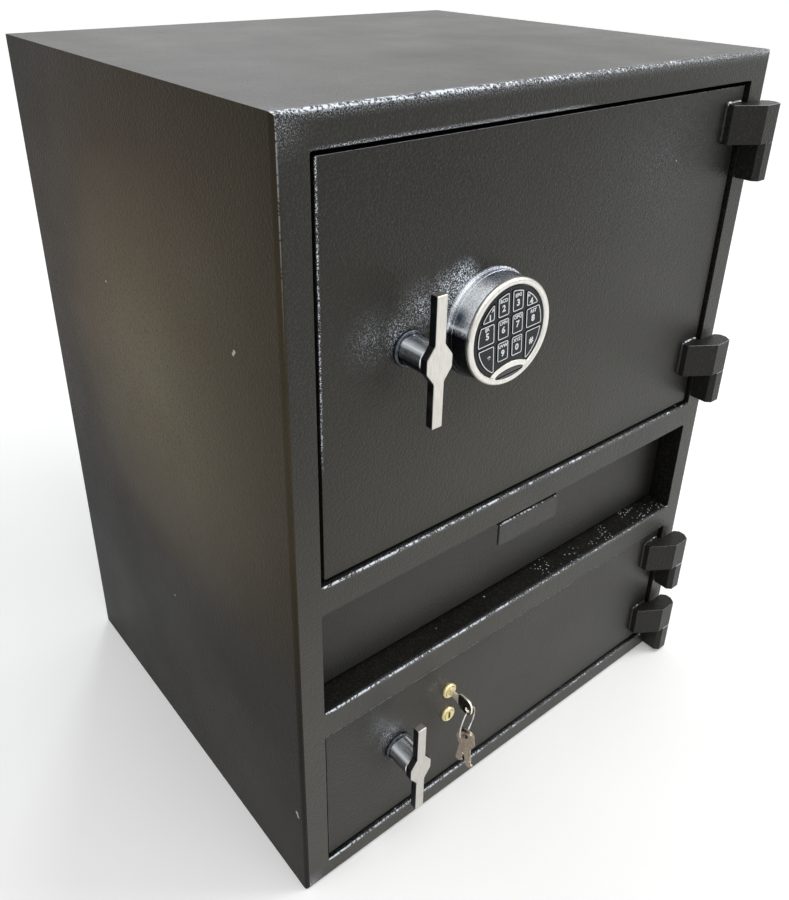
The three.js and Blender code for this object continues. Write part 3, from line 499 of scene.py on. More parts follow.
# Each coat: its gloss, its share of painted glints on the bends, its painted reflections as lighter or warmer
# patches, and its painted glint patches
coats = {
    "shell": powderCoat(
        "coatShell",
        gloss=0.34,
        paintedGlintShare=0.47,
        paintedReflections=[
            ((-0.1, frontFace, 0.12), 0.36, (0.04, 0.0375, 0.03)),
            ((-0.25, frontFace, 0.2), 0.36, (0.05, 0.048, 0.04)),
        ],
        glints=[
            glint((-0.263, frontFace, 0.004), 0.022, 1.6),
            glint((-0.262, frontFace, 0.704), 0.03, 0.7),
            glint((0, -0.2275, 0.7095), 0.0085, 1.1, axes=alongX),
            *sillGlints,
            glint(
                (0, frontFace, 0.6868), 0.0026, 1.8, axes=alongX, reach=((-0.11, frontFace, 0.6868), 0.135)
            ),
        ],
    ),
    # Sides and back: a duller, warm-tinted copy of the coat, painted shade, with painted warm reflections
    "side": powderCoat(
        "coatSide",
        gloss=0.026,
        tint=(1.0, 0.76, 0.5),
        paintedReflections=[
            ((sideFace, -0.02, 0.5), 0.32, (0.1, 0.062, 0.027)),
            ((sideFace, -0.03, 0.45), 0.21, (0.185, 0.158, 0.1)),
            ((sideFace, -0.2, 0.5), 0.32, (0.068, 0.057, 0.036)),
            ((sideFace, -0.12, 0.06), 0.3, (0.04, 0.038, 0.034)),
        ],
        chips=[
            ((sideFace, -0.1642, 0.5368), 0.0042),
            ((sideFace, -0.1625, 0.5345), 0.0036),
            ((sideFace, -0.2175, 0.0998), 0.0048),
            ((sideFace, -0.219, 0.0965), 0.0042),
            ((sideFace, 0.064, 0.519), 0.003),
            ((sideFace, -0.0025, 0.202), 0.0028),
        ],
    ),
    "upperDoor": powderCoat(
        "coatUpperDoor",
        gloss=0.28,
        paintedGlintShare=0.62,
        paintedReflections=[
            ((0.0, doorFace, 0.37), 0.3, (0.028, 0.027, 0.0205)),
            ((-0.2, doorFace, 0.36), 0.3, (0.03, 0.029, 0.022)),
        ],
        glints=[
            glint((-0.106, doorFace, 0.571), 0.023, 6.0),
            glint((-0.121, doorFace, 0.565), 0.027, 3.0),
            glint((-0.146, doorFace, 0.56), 0.032, 1.1),
            glint((-0.166, doorFace, 0.545), 0.026, 1.4),
            glint((-0.192, doorFace, 0.548), 0.034, 0.5),
            glint((0.13, doorFace, 0.63), 0.17, 0.13),
            glint((-0.2358, doorFace, 0), 0.002, 2.2, axes=alongZ, reach=((-0.2358, doorFace, 0.6), 0.15)),
        ],
    ),
    "lowerDoor": powderCoat(
        "coatLowerDoor",
        gloss=0.3,
        paintedReflections=[((-0.08, doorFace, 0.1), 0.34, (0.03, 0.0275, 0.021))],
        glints=[
            glint((-0.168, doorFace, 0.134), 0.024, 1.3),
            glint((-0.18, doorFace, 0.15), 0.026, 0.5),
            glint((-0.112, doorFace, 0.162), 0.018, 0.3),
        ],
    ),
    # Level faces in the recess: a duller copy of the coat, painted shade, with painted glints on the sills
    # and dust
    "ledge": powderCoat(
        "coatLedge",
        gloss=0.12,
        paintedGlintShare=0.62,
        glints=sillGlints,
        dust=[
            ((0.08, -0.206, 0.2152), 0.05),
            ((0.125, -0.204, 0.2152), 0.055),
            ((0.165, -0.208, 0.2152), 0.055),
            ((0.205, -0.213, 0.2152), 0.05),
        ],
    ),
    "plain": powderCoat("coatPlain", gloss=0.28, paintedReflections=[((-0.08, -0.2, 0.27), 0.34, (0.052, 0.051, 0.046))]),
    "hinge": powderCoat("coatHinge", gloss=0.2, paintedGlintShare=0.92),
}
drumSteel = platedMetal(
    "keypadDrum",
    scale=620,
    contrast=(0.34, 0.62),
    dark=(0.2, 0.24, 0.32),
    light=(0.95, 0.97, 1.0),
    # Painted reflections: a light patch at the upper left, with a dark and a grey-blue patch near it
    spots=[
        ((-0.107, -0.24, 0.56), 0.027, 1.5, (0.92, 0.96, 1.0), 1.15),
        ((-0.117, -0.236, 0.549), 0.01, 1.2, (0.1, 0.13, 0.18), 0),
        ((-0.08, -0.238, 0.574), 0.02, 1.0, (0.3, 0.34, 0.42), 0),
    ],
    tarnish=0.3,
    stain=(0.1, 0.11, 0.15),
    roughness=(0.2, 0.42),
    bump=0.9,
    # Painted shade below a level, the dark door mirrored, and a painted highlight line
    lower=(0.5385, 260, (0.022, 0.023, 0.026)),
    band=(0.5412, 0.0024, (0.95, 0.97, 1.0), 1.0),
)
shaftSteel = {
    row: platedMetal(
        row + "HandleShaft",
        scale=420,
        streak=(1, 0.3, 1),
        contrast=(0.3, 0.7),
        dark=(0.5, 0.54, 0.6),
        light=(0.95, 0.98, 1.0),
        tarnish=0.15,
        stain=(0.06, 0.07, 0.09),
        roughness=(0.14, 0.24),
        bump=0.05,
        # Painted shade below the middle, the dark door mirrored, and a painted highlight line along the upper
        # side
        lower=(height + 0.003, 160, (0.016, 0.017, 0.02)),
        band=(height + 0.0082, 0.003, (0.9, 0.94, 1.0), 1.0),
    )
    for row, height in handleHeights.items()
}
collarSteel = platedMetal(
    "collarSteel",
    scale=300, bump=0.3, roughness=(0.2, 0.36), tarnish=0.3,
    dark=(0.02, 0.021, 0.025), light=(0.12, 0.13, 0.155), stain=(0.03, 0.03, 0.04),
)
satinSteel = platedMetal(
    "satinChrome",
    scale=900, streak=(1, 1, 0.12), bump=0.12, roughness=(0.26, 0.42), tarnish=0.22,
    dark=(0.6, 0.585, 0.54), light=(0.8, 0.785, 0.735), stain=(0.5, 0.47, 0.42),
)
barSteel = platedMetal(
    "barChrome",
    scale=700, streak=(1, 1, 0.12), bump=0.14, roughness=(0.28, 0.42), tarnish=0.3,
    dark=(0.5, 0.485, 0.445), light=(0.68, 0.665, 0.62), stain=(0.4, 0.37, 0.32),
    # Painted shade on the faces towards the left and right
    sides=(0.03, 0.031, 0.034),
)
zincSteel = platedMetal(
    "zincSteel",
    scale=140, bump=0.15, roughness=(0.32, 0.5), tarnish=0.4,
    dark=(0.34, 0.35, 0.37), light=(0.55, 0.56, 0.58), stain=(0.42, 0.4, 0.34),
)
turnedBrass = platedMetal(
    "turnedBrass",
    scale=700, bump=0.2, roughness=(0.3, 0.45), tarnish=0.35,
    dark=(0.68, 0.56, 0.27), light=(0.95, 0.87, 0.55), stain=(0.45, 0.35, 0.16),
)
keyNickel = platedMetal(
    "keyNickel",
    scale=500, bump=0.2, roughness=(0.24, 0.42), tarnish=0.5,
    dark=(0.17, 0.14, 0.105), light=(0.4, 0.345, 0.275), stain=(0.2, 0.15, 0.1),
)
# Bright and dark copies of the inserted key's metal: a painted highlight on its shank and blade, a painted
# reflection of the dark door on its bow
shankSteel = platedMetal(
    "keyShank",
    scale=420, bump=0.15, roughness=(0.5, 0.66), tarnish=0.15,
    dark=(0.86, 0.8, 0.62), light=(1.0, 0.97, 0.84), stain=(0.5, 0.43, 0.3),
)
bowSteel = platedMetal(
    "keyBow",
    scale=380, bump=0.2, roughness=(0.2, 0.34), tarnish=0.4,
    dark=(0.03, 0.028, 0.024), light=(0.16, 0.15, 0.125), stain=(0.05, 0.04, 0.03),
)
ringSteel = platedMetal(
    "ringSteel",
    scale=600, bump=0.08, roughness=(0.14, 0.26), tarnish=0.2,
    dark=(0.5, 0.5, 0.5), light=(0.8, 0.8, 0.8), stain=(0.3, 0.3, 0.3),
)
padPlastic = mouldedPlastic(
    "padPlastic",
    dark=(0.0075, 0.009, 0.0112), light=(0.0125, 0.0145, 0.0175),
    roughness=(0.34, 0.46), grain=1800, bump=0.25, gloss=0.22,
)
lensPlastic = mouldedPlastic(
    "lensPlastic",
    dark=(0.006, 0.006, 0.008), light=(0.012, 0.013, 0.015),
    roughness=(0.08, 0.16), grain=500, bump=0.04, coat=0.4,
)
legendPaint = mouldedPlastic(
    "legendPaint",
    dark=(0.66, 0.68, 0.69), light=(0.84, 0.86, 0.87),
    roughness=(0.4, 0.55), grain=1500, bump=0.1,
)
lampPlastic = mouldedPlastic(
    "lampPlastic",
    dark=(0.05, 0.012, 0.01), light=(0.09, 0.02, 0.015),
    roughness=(0.15, 0.25), grain=900, bump=0.05,
)
print("finishes made")


bodyOf = {node: body for body, group in frame["record"]["behaviour"]["bodies"].items() for node in group}
slotOf = {entry["node"]: entry["material_slot"] for entry in frame["record"]["subparts"]}
hinges = [(row, i) for row in ("upper", "lower") for i in (1, 2)]
roundedNodes = {
    "upper_door_plate": ("upperDoor", 0.0007),
    "lower_door_plate": ("lowerDoor", 0.0007),
    "hopper_front": ("plain", 0.0005),
    "hopper_pull": ("plain", 0.0005),
}
for row, i in hinges:
    for half in ("leaf", "knuckle"):
        roundedNodes["%s_hinge_%s_%d" % (row, half, i)] = ("hinge", 0.0007)


# A copy of a solid with softened edges, in the solid's place
def dressSolid(node, name, material, width, segments=2, angle=35):
    piece = cadCopy(node, name)
    if width:
        roundEdges(piece, width, segments, angle)
    else:
        smooth(piece, 30)
    fit(piece, bodyOf[node], slotOf[node], material, node)


for node, (coat, width) in roundedNodes.items():
    first, *others = node.split("_")
    dressSolid(node, first + "".join(word.title() for word in others), coats[coat], width, 3)

# The sills are bent round by the whole width and the other edges by a share of it
sheetEdges = {"width": 0.003, "share": 0.3, "segments": 4, "sills": (0.0222, 0.2152, 0.3517)}


# The shell with its three openings' edges bent round, the sills most of all
def cabinetShell():
    shell = cadCopy("cabinet_shell", "cabinetShell")
    mesh = shell.data
    openMesh(shell)
    bpy.ops.mesh.select_mode(type="EDGE")
    bpy.ops.mesh.select_all(action="DESELECT")
    bpy.ops.mesh.edges_select_sharp(sharpness=math.radians(60))
    bpy.ops.object.mode_set(mode="OBJECT")
    share = mesh.attributes.new("bevel_weight_edge", "FLOAT", "EDGE")
    for edge in mesh.edges:
        ends = [mesh.vertices[i].co for i in edge.vertices]
        onRim = all(abs(end.y - frontFace) < 1e-5 and abs(end.x) < openingHalf + 1e-4 for end in ends)
        if edge.select and onRim and all(end.z > 0.02 for end in ends):
            height = ends[0].z
            level = abs(height - ends[1].z) < 1e-5
            onSill = level and any(abs(height - sill) < 2e-4 for sill in sheetEdges["sills"])
            share.data[edge.index].value = 1.0 if onSill else sheetEdges["share"]
    bends = {"width": sheetEdges["width"], "segments": sheetEdges["segments"]}
    applyModifier(shell, "BEVEL", limit_method="WEIGHT", use_clamp_overlap=False, **bends)
    paint(shell, coats["shell"], coats["side"], coats["ledge"])
    for face in shell.data.polygons:
        if abs(face.normal.x) > 0.3 or face.normal.y > 0.95:  # the sides with their bends, and the back, take the duller side coat, painted shade
            face.material_index = 1
        elif abs(face.normal.z) > 0.95 and face.center.z < 0.69:  # level faces under the top take the duller ledge coat, painted shade
            face.material_index = 2
    return levelFaces(smooth(shell, 30))


fit(cabinetShell(), bodyOf["cabinet_shell"], "black_paint", None, "cabinet_shell")


# The ledge's front edge meets the shell's flange, as its weld is ground flush
def ledgePlate():
    ledge = cadCopy("deposit_ledge", "depositLedge")
    lead = min(vertex.co.y for vertex in ledge.data.vertices)
    for vertex in ledge.data.vertices:
        if vertex.co.y < lead + 0.0001:
            vertex.co.y = lead - 0.00035
    return levelFaces(smooth(ledge, 30))


fit(ledgePlate(), bodyOf["deposit_ledge"], "black_paint", coats["ledge"], "deposit_ledge")
print("cabinet, doors and hinges dressed")

beadShape = {"radius": 0.0019, "reach": 0.026, "step": 0.0022, "out": 0.0004, "swell": (0.86, 0.16)}


# Weld bead along the left and upper edge of a hinge leaf, on the door
def weldBead(node, name):
    s = beadShape
    low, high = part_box(node)
    left = low.x - s["out"]
    top = high.z + s["out"]
    step = s["step"]
    places = [(left, low.z + 0.002 + i * step) for i in range(int((top - low.z) / step))]
    places += [(left + i * step, top) for i in range(int(s["reach"] / step))]
    mean, swing = s["swell"]
    route = []
    for i, (x, z) in enumerate(places):
        wave = math.sin(i * 1.9) + 0.6 * math.sin(i * 4.3 + low.z * 50)
        route.append(((x, doorFace - s["out"], z), mean + swing * wave))
    return smooth(wirePiece(name, route, s["radius"]), 60)


for row, i in hinges:
    bead = weldBead(row + "_hinge_leaf_%d" % i, row + "WeldBead%d" % i)
    fit(bead, row + "_door", "black_paint", coats[row + "Door"])
print("weld beads laid")

# The flat sheets and brackets keep their solids
for node, slotName in slotOf.items():
    if slotName == "black_paint" and node not in roundedNodes:
        paint(nodes[node], coats["plain"])
for node in ("lower_lock_case", "upper_lock_case", "upper_bolt_guide", "lower_bolt_guide"):
    dressSolid(node, node.replace("_", " ").title().replace(" ", ""), zincSteel, 0.0006)
for node in ("upper_bolt_carriage", "lower_bolt_carriage", "hopper_rod"):
    dressSolid(node, node + "Smooth", zincSteel, None)
print("boltwork dressed")


barShape = {
    "half": 0.0523,
    "width": 0.01,
    "hubWidth": 0.0244,
    "hubFlat": 0.01,
    "hubHeight": 0.029,
    "stand": 0.027,
    "thickness": 0.0076,
    "bevel": 0.0011,
}


def handleBar(name, height):
    s = barShape
    half = s["width"] / 2
    side = [
        (half, s["half"]),
        (half, s["hubHeight"] / 2 + 0.0012),
        (half + 0.0005, s["hubHeight"] / 2 - 0.0004),
        (s["hubWidth"] / 2 - 0.0005, s["hubFlat"] / 2 + 0.0007),
        (s["hubWidth"] / 2, s["hubFlat"] / 2 - 0.0009),
    ]
    right = side + [(x, -z) for x, z in reversed(side)]
    outline = right + [(-x, z) for x, z in reversed(right)]
    front = doorFace - s["stand"] - s["thickness"]
    bar = cutPlate(name, outline, s["thickness"], (handleX, front, height))
    return roundEdges(bar, s["bevel"], 3, 40)


shaftShape = {
    "sleeve": 0.012,
    "sleeveStart": -0.0004,
    "sleeveEnd": -0.0267,
    "sleeveBevel": 0.0008,
    "shaft": 0.008,
    "cam": 0.022,
    "camStart": 0.0133,
    "camEnd": 0.0173,
    "bevel": 0.0005,
    "pinReach": 0.016,
    "pinRadius": 0.004,
    "pinStart": 0.0163,
    "pinEnd": 0.0242,
    "turn": math.radians(75),
}


def handleShaft(name, height):
    s = shaftShape
    bevel, cam, sleeve = s["bevel"], s["cam"], s["sleeve"]
    profile = [
        (0, s["camEnd"]), (cam - bevel, s["camEnd"]), (cam, s["camEnd"] - bevel),
        (cam, s["camStart"] + bevel), (cam - bevel, s["camStart"]), (s["shaft"], s["camStart"]),
        (s["shaft"], s["sleeveStart"]), (sleeve, s["sleeveStart"]),
        (sleeve, s["sleeveEnd"] + s["sleeveBevel"]), (sleeve - s["sleeveBevel"], s["sleeveEnd"]),
        (0, s["sleeveEnd"]),
    ]
    centre = Vector((handleX, doorFace, height))
    shaft = spunPiece(name, profile, centre, 72)
    half = s["turn"] / 2
    pinPlace = centre + Vector((s["pinReach"] * math.sin(half), 0, s["pinReach"] * math.cos(half)))
    radius = s["pinRadius"]
    pinProfile = [
        (0, s["pinStart"]), (radius, s["pinStart"]), (radius, s["pinEnd"] - 0.0004),
        (radius - bevel, s["pinEnd"]), (0, s["pinEnd"]),
    ]
    pin = spunPiece(name + "Pin", pinProfile, pinPlace, 32)
    return joinPieces(shaft, pin)


collarProfile = [
    (0.0123, -0.0003), (0.0148, -0.0003), (0.0148, -0.0022), (0.0145, -0.0028),
    (0.0139, -0.0034), (0.013, -0.0036), (0.0123, -0.0033), (0.0123, -0.0003),
]
for row, height in handleHeights.items():
    bar = handleBar(row + "HandleBar", height)
    fit(bar, row + "_handle", "satin_chrome", barSteel, row + "_handle_bar")
    shaft = handleShaft(row + "HandleShaft", height)
    fit(shaft, row + "_handle", "chrome", shaftSteel[row], row + "_handle_shaft")
    collar = spunPiece(row + "HandleCollar", collarProfile, Vector((handleX, doorFace, height)), 72)
    fit(collar, row + "_door", "satin_chrome", collarSteel, row + "_handle_collar")
print("handles made")


# A place on the keypad, which stands a little turned on the door
def padFrame(across, depth, up):
    return Matrix.Translation(padCentre) @ padTurn @ Matrix.Translation((across, depth, up))


drumProfile = [
    (0, -0.0003), (0.046, -0.0003), (0.046, -0.0022), (0.0457, -0.0028),
    (0.0451, -0.0031), (0.0446, -0.0031), (0.0443, -0.0036), (0.0442, -0.0068),
    (0.0439, -0.007), (0.0439, -0.0076), (0.0441, -0.0078), (0.0434, -0.0208),
    (0.0431, -0.0216), (0.0425, -0.022), (0, -0.022),
]
drum = spunPiece("keypadHousing", drumProfile, padCentre, 128)
fit(drum, "upper_door", "chrome", drumSteel, "keypad_housing")

bezelProfile = [
    (0.0378, -0.0223), (0.044, -0.0223), (0.044, -0.0238), (0.0437, -0.0249),
    (0.043, -0.0258), (0.0421, -0.0264), (0.041, -0.0266), (0.0399, -0.0264),
    (0.0389, -0.0258), (0.0382, -0.025), (0.0378, -0.0241), (0.0378, -0.0223),
]
bezel = spunPiece("keypadBezel", bezelProfile, padCentre, 128)

arcShape = {"halfWidth": 0.029, "halfHeight": 0.02, "centre": -0.046, "radius": 0.0382, "depth": -0.0240}
lensShape = {"halfWidth": 0.0164, "halfHeight": 0.0047, "drop": 0.0356, "gap": 0.0004}


# Crescent of the bezel under the keys, with the oval hole for the lens
def bezelArc():
    s = arcShape
    arch = arcPoints(0, s["centre"], s["halfWidth"], s["halfHeight"], 0, math.pi, 56)
    top = [point for point in arch if math.hypot(*point) < s["radius"]]
    start, end = (math.atan2(up, across) for across, up in (top[-1], top[0]))
    under = arcPoints(0, 0, s["radius"], s["radius"], start, end, 40)[1:-1]
    wide, high = (lensShape[half] + lensShape["gap"] for half in ("halfWidth", "halfHeight"))
    hole = arcPoints(0, -lensShape["drop"], wide, high, 0, 2 * math.pi, 48)[:-1]
    flat = give(bpy.data.curves.new("bezelArc", "CURVE"), dimensions="2D", fill_mode="BOTH")
    for loop in (top + under, hole):
        line = flat.splines.new("POLY")
        line.points.add(len(loop) - 1)
        for point, (x, z) in zip(line.points, loop):
            point.co = (x, z, 0, 1)
        line.use_cyclic_u = True
    give(flat, extrude=0.0013, bevel_depth=0.0004, bevel_resolution=2, offset=-0.0004)
    arc = curveMesh("bezelArc", flat)
    arc.matrix_world = padFrame(0, s["depth"], 0) @ Matrix.Rotation(math.pi / 2, 4, "X")
    settle(arc)
    return smooth(arc, 40)


bezel = joinPieces(bezel, bezelArc())
fit(bezel, "upper_door", "satin_chrome", satinSteel, "keypad_bezel")


# A shallow smoked dome in the oval
def lensDome():
    s = lensShape
    clearSelection()
    bpy.ops.mesh.primitive_circle_add(vertices=56, radius=1, fill_type="NGON", rotation=(math.pi / 2, 0, 0))
    dome = bpy.context.object
    dome.name = "keypadLens"
    dome.scale = (s["halfWidth"], s["halfHeight"], 1)
    settle(dome)
    openMesh(dome)
    bpy.ops.mesh.extrude_region_move(TRANSFORM_OT_translate={"value": (0, -0.0031, 0)})
    for inset, rise in ((0.0004, 0.00025), (0.0009, 0.00018), (0.0012, 0.0001)):
        bpy.ops.mesh.inset(thickness=inset, depth=0)
        bpy.ops.transform.translate(value=(0, -rise, 0))
    closeMesh()
    dome.matrix_world = padFrame(0, -0.0223, -s["drop"])
    settle(dome)
    return smooth(dome, 50)


fit(lensDome(), "upper_door", "lens", lensPlastic, "keypad_lens")
paint(nodes["keypad_panel"], padPlastic)

keyLook = {"corner": 0.0014, "edge": 0.0003, "rim": 0.0004, "line": 0.0007, "turn": 0.2}


# The (x, z) outline of a key's front face, anticlockwise, with any hollow side drawn straight
def keyOutline(mesh, front):
    seen = {}
    for face in mesh.polygons:
        if face.normal.y < -0.999 and face.center.y < front + 0.00002:
            for pair in face.edge_keys:
                seen[pair] = seen.get(pair, 0) + 1
    rim = [pair for pair, uses in seen.items() if uses == 1]
    loop = list(rim.pop())
    while loop[-1] != loop[0]:
        step = next(pair for pair in rim if loop[-1] in pair)
        rim.remove(step)
        loop.append(step[0] if step[1] == loop[-1] else step[1])
    outline = [Vector((mesh.vertices[i].co.x, mesh.vertices[i].co.z)) for i in loop[:-1]]
    area = sum(outline[i - 1].cross(outline[i]) for i in range(len(outline)))
    outline = outline if area > 0 else outline[::-1]
    i = 0
    while i < len(outline):
        before, here, after = outline[i - 1], outline[i], outline[(i + 1) % len(outline)]
        if (here - before).cross(after - here) > 1e-10:
            i += 1
        else:
            outline.pop(i)
            i = max(i - 1, 0)
    return outline


# What is left of an outline when each side moves inward
def shrunkOutline(outline, depth):
    core = outline
    for i, corner in enumerate(outline):
        along = (outline[(i + 1) % len(outline)] - corner).normalized()
        inward = Vector((-along.y, along.x))
        heights = [(point - corner).dot(inward) - depth for point in core]
        kept = []
        for j, point in enumerate(core):
            if heights[j - 1] * heights[j] < 0:
                share = heights[j - 1] / (heights[j - 1] - heights[j])
                kept.append(core[j - 1].lerp(point, share))
            if heights[j] >= 0:
                kept.append(point)
        core = kept
    return [point for j, point in enumerate(core) if (point - core[j - 1]).length > 0.00002]


# The ring at a distance round a core outline, with its corners rounded
def roundedRing(core, distance):
    ring = []
    for i, corner in enumerate(core):
        before, after = corner - core[i - 1], core[(i + 1) % len(core)] - corner
        first, last = (math.atan2(-side.x, side.y) for side in (before, after))
        turn = (last - first) % (2 * math.pi)
        steps = max(1, round(turn / keyLook["turn"]))
        for j in range(steps + 1):
            angle = first + turn * j / steps
            ring.append(corner + Vector((math.cos(angle), math.sin(angle))) * distance)
    return ring


# A key with rounded corners, a softened rim and a white line printed round its face
def keyButton(label):
    solid = cadCopy("keypad_key_" + label, "solid")
    depths = [vertex.co.y for vertex in solid.data.vertices]
    front, back = min(depths), max(depths)
    outline = keyOutline(solid.data, front)
    bpy.data.objects.remove(solid)
    core = shrunkOutline(outline, keyLook["corner"])
    corner, edge = keyLook["corner"], keyLook["edge"]
    lineStart = corner - keyLook["rim"]
    lineEnd = lineStart - keyLook["line"]
    rings = [(corner, back)]
    for angle in (0, 30, 60, 90):
        sine, cosine = math.sin(math.radians(angle)), math.cos(math.radians(angle))
        rings.append((corner - edge * (1 - cosine), front + edge * (1 - sine)))
    rings += [(lineStart, front), (lineEnd, front)]
    points, faces = [], []
    for distance, depth in rings:
        points += [(point.x, depth, point.y) for point in roundedRing(core, distance)]
    count = len(points) // len(rings)
    for k in range(len(rings) - 1):
        for i in range(count):
            j = (i + 1) % count
            low, high = k * count, (k + 1) * count
            faces.append((low + i, low + j, high + j, high + i))
    faces.append(tuple(range((len(rings) - 1) * count, len(rings) * count)))
    faces.append(tuple(reversed(range(count))))
    mesh = bpy.data.meshes.new("key_" + label)
    mesh.from_pydata(points, [], faces)
    mesh.materials.append(padPlastic)
    mesh.materials.append(legendPaint)
    for i in range(count * (len(rings) - 2), count * (len(rings) - 1)):
        mesh.polygons[i].material_index = 1
    key = addObject("key_" + label, mesh)
    openMesh(key)
    closeMesh()
    return smooth(key, 40)


# Generic legends: the digit with its place, and the letters above it with theirs
legends = {
    "1": ("1", (-0.022, 0.0192), "A", (-0.0191, 0.0249)),
    "2": ("2", (-0.0077, 0.0226), "BCD", (-0.0077, 0.029)),
    "3": ("3", (0.0077, 0.0226), "EFG", (0.0077, 0.029)),
    "4": ("4", (0.0222, 0.0192), "H", (0.0191, 0.0249)),
    "5": ("5", (-0.0246, 0.0048), "IJK", (-0.0248, 0.0108)),
    "6": ("6", (-0.0077, 0.0046), "LMN", (-0.0077, 0.0108)),
    "7": ("7", (0.0077, 0.0046), "OPQ", (0.0077, 0.0108)),
    "8": ("8", (0.0248, 0.004), "RST", (0.025, 0.0102)),
    "star": ("*", (-0.0225, -0.0156), "", None),
    "9": ("9", (-0.0077, -0.0152), "UVW", (-0.0077, -0.0088)),
    "0": ("0", (0.0077, -0.0152), "XYZ", (0.0077, -0.0088)),
    "hash": ("#", (0.0238, -0.015), "", None),
}
legendSizes = {"digit": 0.0074, "letters": 0.004, "boldness": 0.03, "depth": -0.02553}


def printedText(name, words, size, across, up):
    letters = bpy.data.curves.new(name, "FONT")
    give(letters, body=words, size=size, align_x="CENTER", align_y="CENTER", extrude=0.00004)
    give(letters, resolution_u=3, offset=size * legendSizes["boldness"])
    obj = curveMesh(name, letters)
    obj.matrix_world = padFrame(across, legendSizes["depth"], up) @ Matrix.Rotation(math.pi / 2, 4, "X")
    return settle(obj)


for label, (digit, digitPlace, letters, lettersPlace) in legends.items():
    body = "key_button_" + label
    key = keyButton(label)
    fit(key, body, "pad_plastic", None, "keypad_key_" + label)
    mark = printedText("digit_" + label, digit, legendSizes["digit"], *digitPlace)
    if letters:
        small = printedText("letters_" + label, letters, legendSizes["letters"], *lettersPlace)
        mark = joinPieces(mark, small)
    fit(mark, body, "pad_plastic", legendPaint)


lampShape = {"radius": 0.0009, "flatness": 0.45, "up": 0.0355, "depth": -0.0248}


def statusLamp():
    s = lampShape
    clearSelection()
    place = padFrame(0, s["depth"], s["up"]).translation
    bpy.ops.mesh.primitive_uv_sphere_add(segments=24, ring_count=12, radius=s["radius"], location=place)
    lamp = bpy.context.object
    lamp.name = "statusLamp"
    lamp.scale = (1, s["flatness"], 1)
    settle(lamp)
    openMesh(lamp)
    bpy.ops.mesh.bisect(plane_co=place, plane_no=(0, 1, 0), clear_outer=True, use_fill=True)
    closeMesh(turnOut=False)
    return smooth(lamp, 50)


fit(statusLamp(), "upper_door", "lens", lampPlastic)
print("keypad made")


hornProfile = [
    (0.0058, 0.0277), (0.0082, 0.0277), (0.0082, -0.001), (0.008, -0.0016),
    (0.0073, -0.0027), (0.0068, -0.003), (0.0062, -0.0028), (0.0058, -0.0023),
    (0.0058, 0.0277),
]
for row, height in lockHeights.items():
    place = Vector((lockX, doorFace, height))
    horn = spunPiece(row + "LockHorn", hornProfile, place, 72)
    fit(horn, "lower_door", "brass", turnedBrass, "key_horn_" + row)
    dressSolid("key_plug_" + row, row + "LockPlug", turnedBrass, 0.00025, 2, 40)

keyShape = {
    "thickness": 0.002,
    "blade": 0.008,
    "shank": 0.0103,
    "bow": 0.019,
    "bowHeight": 0.018,
    "bowCorner": 0.007,
    "holeInset": 0.005,
    "holeRadius": 0.0028,
    "holeDrop": 0.003,
    "teeth": (0.0012, 0.0026, 0.0008, 0.003, 0.0016, 0.0024),
    "edge": 0.00022,
    "insertedBlade": 0.0252,
    "spareLength": 0.027,  # of shank and blade
    "spareLean": 9,
    "spareGap": 0.0014,
}


# A key blank: across is along the key from its shoulder, up is its height
def keyBlank(name, bladeLength, holeHeight, cutTeeth):
    s = keyShape
    half = s["blade"] / 2
    shoulder = -s["shank"]
    end = shoulder - s["bow"]
    tall = s["bowHeight"] / 2
    corner = s["bowCorner"]
    bow = []
    for side, start in ((1, math.pi / 2), (-1, math.pi)):  # the bow's rounded outer end
        up = side * (tall - corner)
        bow += arcPoints(end + corner, up, corner, corner, start, start + math.pi / 2, 7)
    waist = [
        (shoulder - 0.0042, -tall),
        (shoulder - 0.0012, -tall + 0.0022),
        (shoulder, -half - 0.0008),
        (shoulder + 0.0012, -half),
    ]
    lower = []
    if cutTeeth:
        step = (bladeLength - 0.007) / (len(s["teeth"]) - 1)
        for i, depth in enumerate(s["teeth"]):
            x = 0.002 + i * step
            lower += [(x - step * 0.3, -half + depth), (x + step * 0.3, -half + depth)]
    tip = [
        (bladeLength - 0.003, -half),
        (bladeLength, -half + 0.0028),
        (bladeLength, half - 0.0025),
        (bladeLength - 0.003, half),
    ]
    top = [(x, -z) for x, z in reversed(waist)]
    outline = bow + waist + lower + tip + top
    blank = cutPlate(name, outline, s["thickness"], (0, -s["thickness"] / 2, 0))
    clearSelection()
    bpy.ops.mesh.primitive_cylinder_add(
        vertices=32,
        radius=s["holeRadius"],
        depth=0.01,
        location=(end + s["holeInset"], 0, holeHeight),
        rotation=(math.pi / 2, 0, 0),
    )
    drill = bpy.context.object
    applyModifier(blank, "BOOLEAN", object=drill, operation="DIFFERENCE")
    bpy.data.objects.remove(drill)
    roundEdges(blank, s["edge"], 2, 40)
    # turned so that the key's length lies along Y and its face along X
    blank.matrix_world = Matrix.Rotation(math.pi / 2, 4, "Z")
    return settle(blank)


